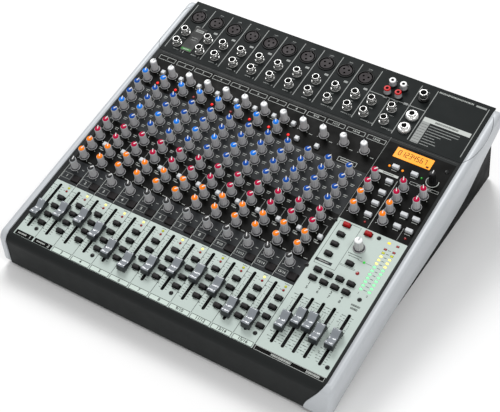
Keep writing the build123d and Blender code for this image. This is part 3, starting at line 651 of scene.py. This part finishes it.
front_jacks = Piece("jack_sockets_detail")
rear_jacks = Piece("rear_jack_sockets_detail")
for lo, hi in sockets:
    if hi[1] < back_v:
        jack(front_jacks, middle_of((lo, hi)), ringed=hi[0] - lo[0] > 14)
    else:
        jack(rear_jacks, behind((lo, hi)))
front_jacks.make(slot="nickel", replaces=["jack_sockets"], sharp=40)
rear_jacks.make(plane=REAR, slot="nickel", replaces=["jack_sockets"], sharp=40)

xlr = Piece("microphone_sockets_rims")
latch = (  # the parts of a latch: outline, two heights, finish, and distance up the slope
    ((5.2, 2.6, 0.8), 0.1, 1.5, socket_black, 11.2),
    ((3.4, 1.2, 0.4), 1.4, 1.75, zone_grey, 11.0),
    ((2.2, 1.6, 0.3), -6.0, 0.75, socket_core, 8.3),
    # a thin near-black sheet for the latch's slot: painted shade of the hollow
    ((1.6, 1.0, 0.3), 0.78, 0.86, bore_black_and_painted_slot_shade, 6.7),
)
for solid in xlrs:
    spot = at(*middle_of(solid))
    ring = [(9.35, 0.3), (9.4, 1.0), (9.7, 1.25), (10.5, 1.25), (10.95, 1.0), (11.0, 0.06)]
    xlr.add(lathe(ring, 64, close=False), socket_black, spot)
    for outline, low, high, finish, up in latch:
        xlr.add(prism(rounded(*outline), low, high), finish, spot @ at(0, up), smooth=False)
xlr.make(slot="socket_black")

outputs = Piece("rear_output_sockets_rims")
for solid in rear_outputs:
    ring = [(9.35, 0.3), (9.4, 1.0), (9.7, 1.3), (10.5, 1.3), (11.0, 1.0), (11.05, 0.06)]
    outputs.add(lathe(ring, 64, close=False), socket_black, at(*behind(solid)))
outputs.make(plane=REAR, slot="socket_black")

phono_rims = Piece("phono_sockets_detail")
white_row = max(v for x, v in phonos)
for x, v in phonos:
    ring = white if white_row - v < 5 else red_ring
    spot = at(x, v)
    collar = [(4.6, 0.1), (5.5, 0.1), (5.5, 1.2), (5.2, 1.7), (4.1, 1.75)]
    phono_rims.add(lathe(collar, 40), socket_black, spot)
    shell = [(4.15, 1.6), (4.15, 4.0), (3.95, 4.2), (3.95, 7.2), (4.15, 7.4), (4.15, 8.4)]
    phono_rims.add(lathe(shell, 40, close=False), phono_grey, spot)
    cover = [(4.15, 8.4), (4.12, 9.4), (3.9, 9.85), (3.4, 10.0), (2.1, 9.95), (1.85, 9.6)]
    phono_rims.add(lathe(cover, 40, close=False), ring, spot)
    well = [(1.85, 9.6), (1.75, 9.3), (1.7, 2.6), (0.2, 2.5)]
    phono_rims.add(lathe(well, 32), bore_black_and_painted_slot_shade, spot)
    phono_rims.add(block((8, 7, 4), (0, 0, -4)), body_plastic, spot, smooth=False)
phono_rims.make(slot="nickel", replaces=["phono_sockets"])

lamp_base = Piece("lamp_socket_detail")
spot = at(*lamp_socket_place)
collar = [(5.5, 0.1), (6.75, 0.1), (6.8, 1.4), (6.4, 2.2), (4.8, 2.4)]
lamp_base.add(lathe(collar, 48), socket_black, spot)
barrel = [(4.75, 2.3), (4.8, 4.2), (4.5, 4.5), (4.5, 8.2), (4.75, 8.5), (4.8, 12.1), (4.6, 12.45)]
lamp_base.add(lathe(barrel, 48, close=False), nickel, spot)
lamp_base.add(lathe([(4.6, 12.45), (3.9, 12.45)], 48, close=False), nickel, spot)
lamp_base.add(lathe([(3.9, 12.45), (3.7, 12.0), (3.7, 5.0), (0.1, 5.0)], 48), bore_black_and_painted_slot_shade, spot)
lamp_base.add(lathe([(1.6, 5.0), (1.6, 8.2), (1.3, 8.5), (0.1, 8.5)], 32), nickel, spot)
lug = lathe([(0.75, -0.9), (0.8, 0.5), (0.65, 0.85), (0.2, 0.9)], 16)
sideways = Matrix.Rotation(math.radians(90), 4, "Y")
for turn in (0, 180):
    lamp_base.add(lug, nickel, spot @ at(0, 0, 0, turn) @ at(5.0, 0, 9.5) @ sideways)
lamp_base.make(slot="nickel", replaces=["lamp_socket"])

# ------ screws and lamps

heads = Piece("screws_detail")
screw_dome = [(2.4, 0.05), (2.5, 0.3), (2.3, 0.8), (1.8, 1.2), (1.2, 1.42), (0.2, 1.5)]
for solid in screws:
    if solid[1][1] < back_v - 5:
        place = at(*middle_of(solid))
        heads.add(lathe(screw_dome, 32), screw_black, place)
        # the dark cross, raised on the dome, stands for the head's cross recess: painted shade of
        # the slot
        for turn in (20, 110):
            cross = block((2.4, 0.45, 0.12), (0, 0, 1.5))
            heads.add(cross, bore_black_and_painted_slot_shade, place @ at(0, 0, 0, turn), smooth=False)
heads.make(slot="screw")

light_pieces = Piece("lamps_detail")
bright_strips = {1, 2, 3, 4, 6, 7, 10}
dark_compressors = {2, 4}
BAR_WIDTH = 3.2  # anything wider among the lamps is a bar of the level meter
bars = [middle_of((lo, hi)) for lo, hi in lamps if hi[0] - lo[0] > BAR_WIDTH]
meter_columns = sorted({round(x, 1) for x, _ in bars})
meter_rows = sorted({round(v, 1) for _, v in bars}, reverse=True)


meter_finishes = [lamp_amber_lit, lamp_red_off, lamp_yellow] + [lamp_yellow_lit] * 3
meter_finishes += [lamp_green_lit] * (len(meter_rows) - len(meter_finishes))
for lo, hi in lamps:
    x, v = middle_of((lo, hi))
    if hi[0] - lo[0] > BAR_WIDTH:
        row = nearest(meter_rows, v)
        right_column = x > sum(meter_columns) / 2
        finish = lamp_red_off if row == 0 and right_column else meter_finishes[row]
        light_pieces.add(dome_key(3.5, 2.5, 0.55, -3.0, 0.5), finish, at(x, v))
        continue
    strip = nearest(strip_xs, x - 12.1)
    finish, r = lamp_red_off, 1.45
    if x < strip_end and v > 5:
        finish, r = lamp_red_off if strip in dark_compressors else lamp_red, 1.75
    elif x < strip_end and v > -4:
        finish = lamp_yellow_lit if strip in bright_strips else lamp_yellow
    elif x > strip_end and v > 190:
        finish = lamp_orange if x < 160 else lamp_green
    elif x > strip_end and v < 55:
        r = 2.2
    elif x > strip_end and v < 100:
        finish = lamp_green_on
    dome = [(r, -3.0), (r, 0.3), (r * 0.93, 0.65), (r * 0.7, 0.98), (r * 0.35, 1.15), (0.05, 1.2)]
    light_pieces.add(lathe(dome, 24), finish, at(x, v))
light_pieces.make(slot="lamp", replaces=["lamps"])

# ------ print on the panels

PRINT_W, LINE_W, INK_W = 0.05, 0.10, 0.15  # heights of the sheets, of the lines and over them
left_x, right_x = strip_xs[0] - 9.2, strip_xs[0] + 401.7
strips_right = strip_xs[-1] + 18.3
master_left = strips_right + 0.7
bar_left, bar_right = master_left + 1.2, right_x - 1.0
slot_v = -slot_length / 2
fader_xs = [x for x, _ in fader_places.values()]

holes = [outline_at(x, slot_v, slot_width, slot_length, 1.49, 4) for x in fader_xs]
for x, v in fixed_knobs + list(turning.values()) + [phones_place, encoder_place]:
    holes.append(circle(x, v, 3.8, 20))
for node in key_looks:
    for (x, v), span in key_spans(node):
        holes.append(outline_at(x, v, span[0] + 0.8, span[1] + 0.8))
for lo, hi in lamps:
    x, v = middle_of((lo, hi))
    wide = hi[0] - lo[0] > BAR_WIDTH
    holes.append(outline_at(x, v, 3.8, 2.8) if wide else circle(x, v, 1.6, 16))
holes.append(outline_at(*middle_of(display), 47.0, 15.0))


def box_zone(x0, v0, x1, v1):
    return [(x0, v0), (x1, v0), (x1, v1), (x0, v1)]


zones = [
    (box_zone(left_x, 105.0, right_x, 226.5), black_print),
    (box_zone(left_x, 38.0, strips_right, 105.0), black_print),
    (box_zone(left_x, 108.0, strips_right - 0.4, 172.0), zone_grey),
    (box_zone(left_x, 4.6, strips_right, 38.0), zone_grey),
    (box_zone(left_x, -82.4, strips_right, 4.0), mint),
    (box_zone(master_left, -76.7, right_x, 105.0), mint),
    (box_zone(bar_left, -82.4, bar_right, -77.2), black_print),
]
for x in fader_xs:
    zones.append((outline_at(x, slot_v, slot_width + 0.9, slot_length + 0.9, 1.9, 4), black_print))
for node in ("channel_keys", "master_keys", "red_keys", "mute_keys"):
    reach = key_looks[node][1]
    for x, v in keys[node]:
        zones.append((outline_at(x, v, reach[0] + 1.9, reach[1] + 1.9, 1.2, 3), black_print))


def inside(point, outline):
    x, y = point
    hit = False
    for (x0, y0), (x1, y1) in zip(outline, outline[1:] + outline[:1]):
        if (y0 > y) != (y1 > y) and x < (x1 - x0) * (y - y0) / (y1 - y0) + x0:
            hit = not hit
    return hit


def print_sheet(name, zones, holes):
    """One thin skin of print, cut round every hole, with a finish for each zone."""
    points, edges = [], []
    for outline in [z for z, _ in zones] + holes:
        start = len(points)
        points += [Vector(p) for p in outline]
        edges += [(start + k, start + (k + 1) % len(outline)) for k in range(len(outline))]
    verts, _, faces, *_ = delaunay_2d_cdt(points, edges, [], 0, 1e-5)
    spans = []
    for hole in holes:
        xs, vs = zip(*hole)
        spans.append((min(xs), max(xs), min(vs), max(vs), hole))
    piece = Piece(name)
    by_finish = {}
    for face in faces:
        c = sum((verts[i] for i in face), Vector((0, 0))) / len(face)
        if any(a < c.x < b and d < c.y < e and inside(c, h) for a, b, d, e, h in spans):
            continue
        finish = None
        for outline, colour in zones:
            if inside(c, outline):
                finish = colour
        if finish is not None:
            by_finish.setdefault(finish, []).append(face)
    flat = [(v.x, v.y, PRINT_W) for v in verts]
    for finish, chosen in by_finish.items():
        used = sorted({i for f in chosen for i in f})
        index = {i: k for k, i in enumerate(used)}
        kept = [tuple(index[i] for i in f) for f in chosen]
        piece.add(([flat[i] for i in used], kept), finish, smooth=False)
    return piece


print_sheet("control_panel_print", zones, holes).make(slot="panel")

marks = Piece("control_panel_marks")


def bar(piece, x0, v0, x1, v1, finish, wide=0.5, w=LINE_W):
    """A printed line between two points."""
    a, b = Vector((x0, v0)), Vector((x1, v1))
    along = (b - a).normalized() * (wide / 2)
    side = Vector((-along.y, along.x))
    corners = [a - side, b - side, b + side, a + side]
    piece.add(([(p.x, p.y, w) for p in corners], [(0, 1, 2, 3)]), finish, smooth=False)


def frame_box(piece, x0, v0, x1, v1, finish, wide=0.4, w=LINE_W):
    corners = [(x0, v0), (x1, v0), (x1, v1), (x0, v1)]
    for here, there in zip(corners, corners[1:] + corners[:1]):
        bar(piece, *here, *there, finish, wide, w)


def ticks(x, v):
    """The short marks at the ends of a knob's travel."""
    inner, outer = 6.9, 8.4
    for a in map(math.radians, (215, 325)):
        c, d = math.cos(a), math.sin(a)
        bar(marks, x + inner * c, v + inner * d, x + outer * c, v + outer * d, light_print, 0.6)


def words(piece, x, v, length, finish, high=0.9, gap=0.35, w=LINE_W):
    """A row of short dashes that stands for a printed label, centred on (x, v)."""
    start = x - length / 2
    here = start
    draw = random.Random(round(x * 7 + v * 13))
    while here < start + length - 0.3:
        step = min(draw.uniform(0.55, 0.95), start + length - here)
        bar(piece, here, v, here + step, v, finish, high * draw.uniform(0.75, 1.0), w)
        here += step + gap


def curve_mesh(curve):
    """The points and faces of a curve, which is then deleted."""
    source = bpy.data.objects.new(curve.name, curve)
    mesh = bpy.data.meshes.new_from_object(source)
    points = [p.co.copy() for p in mesh.vertices]
    faces = [tuple(p.vertices) for p in mesh.polygons]
    bpy.data.objects.remove(source)
    bpy.data.meshes.remove(mesh)
    bpy.data.curves.remove(curve)
    return points, faces


def number(piece, text, x, v, size, finish, bold=0.006):
    """A printed number, centred on (x, v)."""
    curve = bpy.data.curves.new("number", "FONT")
    curve.body = text
    curve.size = size
    curve.offset = bold * size
    curve.align_x = "CENTER"
    curve.align_y = "CENTER"
    points, faces = curve_mesh(curve)
    verts = [(p.x + x, p.y + v, LINE_W + 0.04) for p in points]
    piece.add((verts, faces), finish, smooth=False)


def fader_scale(x, inner, outer, label):
    """Tick marks on both sides of a slot: close together below, wide apart with brackets above."""
    for step in range(20):
        v = -3.6 - 3.2 * step
        long = outer + (0.9 if step % 4 == 0 else 0)
        if step in (3, 4, 6, 7):
            bar(marks, x - outer, v + 1.4, x - outer, v - 1.4, dark_print, 0.3)
            bar(marks, x + outer, v + 1.4, x + outer, v - 1.4, dark_print, 0.3)
            continue
        bar(marks, x - long, v, x - inner, v, dark_print, 0.46)
        bar(marks, x + inner, v, x + long, v, dark_print, 0.46)
        if step % 2 == 0:
            words(marks, x - label, v, 1.9, dark_print, 1.1)


strip_names = [str(k + 1) for k in range(mono_count)] + ["9/10", "11/12", "13/14", "15/16"]
BACK_BOX_V, MUTE_BOX_V, FRONT_BOX_V = 221.2, 13.6, -78.9  # rows of boxes with the strips' numbers
dark_boxes = 2  # the first front boxes are dark, with a label
for k, (x, name) in enumerate(zip(strip_xs, strip_names)):
    # number boxes at the back and at the front
    frame_box(marks, x - 6.7, BACK_BOX_V - 3, x + 16.7, BACK_BOX_V + 3, light_print, 0.45)
    number(marks, name, x + 5, BACK_BOX_V, 4.2, light_print)
    dark = k < dark_boxes
    fill, digits = (black_print, light_print) if dark else (box_print, dark_print)
    low, high = FRONT_BOX_V - 3.0, FRONT_BOX_V + 2.8
    bar(marks, x - 7.9, FRONT_BOX_V, x + 17.1, FRONT_BOX_V, fill, 5.6)
    frame_box(marks, x - 7.7, low, x + 16.9, high, dark_print, 0.55, LINE_W + 0.02)
    if dark:
        words(marks, x + 1.6, FRONT_BOX_V, 12.0, light_print, 2.0, 0.5, LINE_W + 0.03)
    number(marks, name, x + (12.6 if dark else 4.6), FRONT_BOX_V, 5.4, digits, bold=0.016)
    # number boxes beside the mute keys
    frame_box(marks, x - 8.0, MUTE_BOX_V - 4, x + 4.6, MUTE_BOX_V + 4, dim_print, 0.4)
    number(marks, name, x - 1.7, MUTE_BOX_V, 5.4 if k < mono_count else 4.2, light_print)
    # dividers
    if k:
        bar(marks, x - 9.2, -76.0, x - 9.2, 3.8, dark_print, 0.5)
    bar(marks, x - 9.0, 5.0, x - 9.0, 36.5, light_print, 0.45)
    # fader scale
    fader_scale(x, 2.8, 5.4, 8.0)
    for v in (-21.0, -33.9, -47.0, -59.8):
        words(marks, x + 12.4, v, 5.0, dark_print, 1.2)
    words(marks, x + 12.3, 1.9, 5.6, dark_print, 0.8)
    words(marks, x + 8.9, -6.2, 2.2, dark_print, 0.7)
    # labels and lines among the knobs
    words(marks, x + 12.0, 27.8, 3.0, light_print, 0.9)
    for row, (kx, v) in turning.items():
        centre = x + (kx - strip_xs[0])
        if row == "compressor" and k >= mono_count:
            continue
        ticks(centre, v)
        if row in ("treble", "mid", "mid_frequency", "bass", "send_1", "send_3"):
            words(marks, x + 11.4, v + 4.0, 5.0, light_print, 1.2)
            words(marks, x + 11.4, v + 1.8, 4.0, light_print, 0.9)
        if row in ("gain", "send_2", "send_4"):
            words(marks, x + 12.8, v - 5.4, 4.6, light_print, 0.9)
    centre = x + turning["gain"][0] - strip_xs[0]
    bar(marks, centre, 104.0, centre, 171.5, light_print, 0.5)
    bar(marks, x + 14.0, 75.0, x + 14.0, 88.5, dim_print, 0.45)
    bar(marks, x + 14.0, 88.5, x + 8.5, 88.5, dim_print, 0.45)
    words(marks, x + 14.0, 63.6, 4.6, light_print, 1.3)

# the scales of the group and main faders
for x in group_xs + [main_x]:
    fader_scale(x, 2.8, 5.2, 7.0)
for k, x in enumerate(group_xs):
    number(marks, str(k + 1), x, 14.2, 5.4, dark_print)
    number(marks, str(k + 5), x, 8.9, 5.4, dark_print)
for v in (-6.0, -13.0, -48.0, -53.0, -58.0):
    words(marks, main_x - 8.0, v, 2.0, dark_print, 0.9)
words(marks, main_x, 12.0, 10.5, dark_print, 3.0, 0.5)
words(marks, main_x, 7.9, 8.0, dark_print, 3.0, 0.5)
frame_box(marks, bar_left + 0.2, -82.2, bar_right - 0.2, -77.2, light_print, 0.4)
words(marks, 154.0, -79.7, 24.0, light_print, 3.0, 0.55, INK_W)
words(marks, 192.0, -79.7, 16.0, light_print, 3.0, 0.55, INK_W)

# the master section
bar(marks, master_left, 105.0, master_left, 232.0, dim_print, 0.4)
frame_box(marks, master_left + 4.0, 41.0, master_left + 30.0, 102.5, dark_print, 0.4)
bar(marks, 124.1, 46.0, 144.4, 46.0, zone_grey, 3.9)
words(marks, 134.3, 46.0, 12.0, light_print, 1.3, 0.4, INK_W)
bar(marks, 129.8, 182.9, 154.8, 182.9, light_print, 3.4)
words(marks, 142.3, 182.9, 14.0, dark_print, 1.6, 0.4, INK_W)
frame_box(marks, 169.8, 181.2, 204.8, 184.6, light_print, 0.35)
words(marks, 187.3, 182.9, 18.0, light_print, 1.2, 0.4)
bar(marks, 156.5, 106.0, 156.5, 178.0, light_print, 0.5)
frame_box(marks, 79.5, 174.6, 103.5, 180.4, light_print, 0.5)
words(marks, 91.5, 177.5, 17.0, light_print, 1.8, 0.5)
# a pale line along the fold between the panels: a painted highlight of the crease, not print
bar(marks, left_x, 229.8, right_x, 229.8, painted_crease_highlight, 0.35)
bar(marks, 192.4, 106.0, 192.4, 124.0, dim_print, 0.5)
arc = []
for k in range(10):
    a = math.radians(150 + 26 * k)
    arc.append((encoder_place[0] + 7.4 * math.cos(a), encoder_place[1] + 7.4 * math.sin(a)))
for here, there in zip(arc, arc[1:]):
    bar(marks, *here, *there, light_print, 0.8)
for x, v in keys["white_keys"]:
    if x > strip_end:
        words(marks, x, v - 4.6, 6.4, light_print, 1.0)
for x, v in keys["master_keys"] + keys["red_keys"]:
    words(marks, x, v - 4.0, 6.0, dark_print, 0.8)
for x, v in fixed_knobs:
    if x > strip_end:
        ticks(x, v)
middle = sum(meter_columns) / 2
for k, v in enumerate(meter_rows[1:]):
    words(marks, middle, v, 3.6, dark_print, 1.0)
frame_box(marks, 152.0, 50.5, 170.0, 52.0, dark_print, 0.3)
words(marks, 161.2, 68.5, 17.0, dark_print, 1.1)
words(marks, 161.2, 65.6, 13.0, dark_print, 1.1)
bar(marks, 166.5, 64.4, 172.6, 64.4, dark_print, 0.35)
bar(marks, 176.8, 64.4, 184.0, 64.4, dark_print, 0.35)
for k, x in enumerate(meter_columns):
    number(marks, str(k + 1), x, 27.7, 3.4, dark_print)
marks.make(slot="panel")

# the connector panel
legend = Piece("connector_panel_marks")
legend_lines = [(strip_xs[0] - 10.7 + pitch * k, 238.0, 318.4) for k in range(len(xlrs) + 1)]
legend_lines += [(91.9, 237.0, 283.7), (204.5, 240.0, 318.4)]
legend_lines += [(x, 237.0, 318.4) for x in (117.9, 138.8)]
for x, v0, v1 in legend_lines:
    bar(legend, x, v0, x, v1, dim_print, 0.95)
bar(legend, 64.1, 284.0, 138.8, 284.0, dim_print, 0.95)
for k, x in enumerate(strip_xs):
    bar(legend, x + 8.2, 284.2, x + 13.4, 284.2, dim_print, 3.0)
    words(legend, x + 4.0, 260.6, 5.0, dim_print, 1.0)
    words(legend, x + 4.6, 240.6, 8.0, dim_print, 1.2)
    number(legend, strip_names[k], x + 12.4, 240.2, 3.6, dim_print)
    if k < len(xlrs):
        words(legend, x + 2.3, 314.6, 5.0, dim_print, 1.0)
for x, v in phonos:
    words(legend, x, v + 7.6 if v > 295 else v - 7.4, 5.0, dim_print, 1.0)
words(legend, lamp_socket_place[0], 311.5, 6.0, dim_print, 1.1)
bar(legend, 141.9, 273.2, 201.9, 273.2, light_print, 6.4)
words(legend, 171.9, 273.2, 30.0, dark_print, 3.0, 0.6, INK_W)
bar(legend, 146.9, 236.4, 146.9, 270.0, dim_print, 10.0)
row_start, row_lengths = 153.4, [38.4, 38.4, 31.4, 19.4, 13.4, 16.4, 18.4, 11.4]
for k, length in enumerate(row_lengths):
    v = 266.1 - 4.03 * k
    words(legend, row_start + length / 2, v, length, dim_print, 1.3, 0.3)
    bar(legend, 142.6, v, 151.2, v, zone_grey, 0.4, INK_W)
words(legend, 163.0, 317.5, 44.0, light_print, 2.6, 0.9)
bar(legend, 188.5, 317.0, 201.9, 317.0, dim_print, 2.6)
legend.make(slot="chassis")

# ------ display and badge

glass = Piece("display_detail")
(dx0, dv0, _), (dx1, _, _) = display
pane = outline_at(*middle_of(display), 46.8, 14.8, 0.4, 2)
glass.add(prism(pane, -1.4, 0.55), amber, smooth=False)
segments = dict(zip("01234567", "abcdef bc abged abgcd fgbc afgcd afgedc abc".split()))
ends = "0212 1112 1011 0010 0001 0102 0111".split()  # x0, y0, x1, y1 of each stroke
strokes = {letter: [int(c) for c in e] for letter, e in zip("abcdefg", ends)}
DIGIT_WIDE, DIGIT_HIGH, DIGIT_W = 2.7, 3.4, 0.6
for k, digit in enumerate(segments):
    left, low = dx0 + 4.4 + 4.6 * k, dv0 + 4.6
    for letter in segments[digit]:
        x0, y0, x1, y1 = strokes[letter]
        start = (left + DIGIT_WIDE * x0, low + DIGIT_HIGH * y0)
        stop = (left + DIGIT_WIDE * x1, low + DIGIT_HIGH * y1)
        bar(glass, *start, *stop, amber_dark, 0.8, DIGIT_W)
bar(glass, dx1 - 5.4, dv0 + 2.4, dx1 - 2.2, dv0 + 2.4, amber_dark, 2.6, DIGIT_W)
glass.make(slot="amber", replaces=["display_window"])

plate = Piece("badge_detail")
(bx0, bv0, _), (bx1, bv1, _) = badge
mid_x, mid_v = middle_of(badge)
face = outline_at(mid_x, mid_v, bx1 - bx0, 42.8, 1.2, 4)
plate.add(prism(face, 0.05, 0.8), badge_black, smooth=False)
bar(plate, bx0 + 1.5, bv0 + 3.5, bx1 - 1.5, bv0 + 3.5, badge_green, 3.6, 0.84)
bar(plate, bx0 + 3.0, bv1 - 6.0, bx1 - 3.0, bv1 - 6.0, dim_print, 4.4, 0.84)
words(plate, mid_x, bv1 - 6.0, 8.0, badge_black, 1.6, 0.4, 0.9)
words(plate, mid_x, mid_v + 3.0, 9.0, dim_print, 1.2, 0.4, 0.84)
words(plate, mid_x, mid_v - 1.0, 7.0, dim_print, 1.2, 0.4, 0.84)
words(plate, mid_x, bv0 + 3.5, 8.0, light_print, 1.4, 0.5, 0.9)
plate.make(slot="badge", replaces=["badge_plate"])

# ------ parts with their own shape


def skin(node, finish, angle=28.0, rounding=None):
    """A part's own surface, welded and smoothly shaded, with softened edges if asked."""
    made = bmesh.new()
    made.from_mesh(frame["nodes"][node].data)
    bmesh.ops.remove_doubles(made, verts=made.verts, dist=1e-6)
    bmesh.ops.dissolve_degenerate(made, edges=made.edges, dist=1e-6)
    mesh = bpy.data.meshes.new(f"{node}_skin")
    made.to_mesh(mesh)
    made.free()
    mesh.polygons.foreach_set("use_smooth", [True] * len(mesh.polygons))
    mesh.set_sharp_from_angle(angle=math.radians(angle))
    mesh.materials.clear()
    mesh.materials.append(finish)
    piece = linked(f"{node}_skin", mesh)
    if rounding:
        soft = piece.modifiers.new("rounding", "BEVEL")
        soft.width, soft.segments = rounding * MM, 2
        soft.limit_method, soft.angle_limit = "ANGLE", math.radians(35)
        soft.harden_normals = True
    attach(piece, body_of(node))
    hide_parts(node)
    return piece


left_trim = skin("left_cheek", silver)
right_trim = skin("right_cheek", silver)
skin("control_panel", charcoal)
skin("power_switch", key_black, rounding=0.3)
skin("rubber_feet", rubber)

seam_route = [(211.0, 233.5, 1.6), (215.2, 238.5, 1.6), (219.2, 249.5, 1.0), (220.5, 268.8, -3.0)]
seam_route += [(220.0, 281.0, -2.6), (219.2, 291.0, -1.4), (217.4, 302.0, 1.0), (213.5, 309.0, 1.6)]


def trim_seam(trim, side_sign):
    """The fine joint line across the back of a cheek, laid on its surface."""
    curve = bpy.data.curves.new("seam_route", "CURVE")
    curve.dimensions = "3D"
    line = curve.splines.new("NURBS")
    line.points.add(len(seam_route) - 1)
    for point, (x, v, w) in zip(line.points, seam_route):
        point.co = (*(SLOPE @ Vector((side_sign * x, v, w))), 1.0)
    line.order_u = 3
    line.use_endpoint_u = True
    line.resolution_u = 12
    path, _ = curve_mesh(curve)
    tree = BVHTree.FromPolygons(
        [v.co for v in trim.data.vertices], [tuple(f.vertices) for f in trim.data.polygons]
    )
    verts = []
    for k, here in enumerate(path):
        along = (path[min(k + 1, len(path) - 1)] - path[max(k - 1, 0)]).normalized()
        _, normal, _, _ = tree.find_nearest(here)
        across = along.cross(normal).normalized()
        for reach in (-0.3, 0.3):
            spot, out, _, _ = tree.find_nearest(here + across * reach * MM)
            verts.append(spot + out * 0.06 * MM)
    mesh = bpy.data.meshes.new("seam")
    faces = [(2 * k, 2 * k + 1, 2 * k + 3, 2 * k + 2) for k in range(len(path) - 1)]
    mesh.from_pydata(verts, [], faces)
    mesh.materials.append(seam_grey)
    made = linked(f"{trim.name.replace('_skin', '')}_seam", mesh)
    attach(made, CONSOLE)


trim_seam(left_trim, -1)
trim_seam(right_trim, 1)

keep = {
    charcoal_matt: "connector_panel",
    chassis: "base_tray rear_panel",
    screw_black: "fasteners",
    socket_black: "xlr_sockets rear_output_sockets mains_inlet",
    board_green: "circuit_boards",
    steel: "fader_bodies power_supply",
    body_plastic: "potentiometer_bodies switch_bodies",
    ribbon_grey: "ribbon_cables",
}
for finish, kept_nodes in keep.items():
    for node in kept_nodes.split():
        own = frame["nodes"][node].data
        own.materials.clear()
        own.materials.append(finish)
core = frame["nodes"]["xlr_sockets"].data
core.materials.append(socket_core)
local = slope_points("xlr_sockets")
centres = np.array([middle_of(solid) for solid in xlrs])
for face in core.polygons:
    c = local[list(face.vertices)].mean(0)
    if c[2] > 0.7:
        near = np.hypot(*(centres - c[:2]).T).min()
        face.material_index = 1 if near < 8.2 else 0

# ------ room, light and camera

floor_mesh = bpy.data.meshes.new("floor")
floor_mesh.from_pydata([(-6, -6, 0), (6, -6, 0), (6, 6, 0), (-6, 6, 0)], [], [(0, 1, 2, 3)])
floor_paint = material("floor", (250, 250, 250), 0.7, grain=40, bump=0.01, mottle=0.005)
floor_mesh.materials.append(floor_paint)
linked("floor", floor_mesh)

world = bpy.data.worlds.new("studio")
bpy.context.scene.world = world
world.use_nodes = True
world.node_tree.nodes["Background"].inputs["Color"].default_value = (1.0, 1.0, 1.0, 1.0)
world.node_tree.nodes["Background"].inputs["Strength"].default_value = 0.5


def softbox(name, place, target, size, power):
    light = bpy.data.lights.new(name, "AREA")
    light.shape = "RECTANGLE"
    light.size, light.size_y = size
    light.energy = power
    made = linked(name, light)
    made.location = place
    made.rotation_euler = (Vector(target) - Vector(place)).to_track_quat("-Z", "Y").to_euler()


softbox("key_light", (-0.75, 0.75, 1.6), (0, 0, 0.08), (0.9, 0.7), 20)
softbox("fill_light", (1.3, -0.5, 1.9), (0, 0, 0.08), (0.9, 0.9), 12)
softbox("front_light", (0.35, -1.6, 0.75), (0.1, -0.2, 0.08), (0.7, 0.35), 3)

eye = Vector((546.1, -876.3, 1028.6)) * MM
right = Vector((0.84769, 0.53042, -0.00868))
up = Vector((-0.36421, 0.59380, 0.71746))
backward = right.cross(up)
camera = linked("camera", bpy.data.cameras.new("camera"))
camera.data.lens = 85.73
camera.data.sensor_width = 36.0
camera.data.clip_start, camera.data.clip_end = 0.05, 50.0
turn = Matrix((right, up, backward)).transposed()
camera.matrix_world = Matrix.Translation(eye) @ turn.to_4x4()
bpy.context.scene.camera = camera
bpy.context.scene.view_settings.view_transform = "Standard"
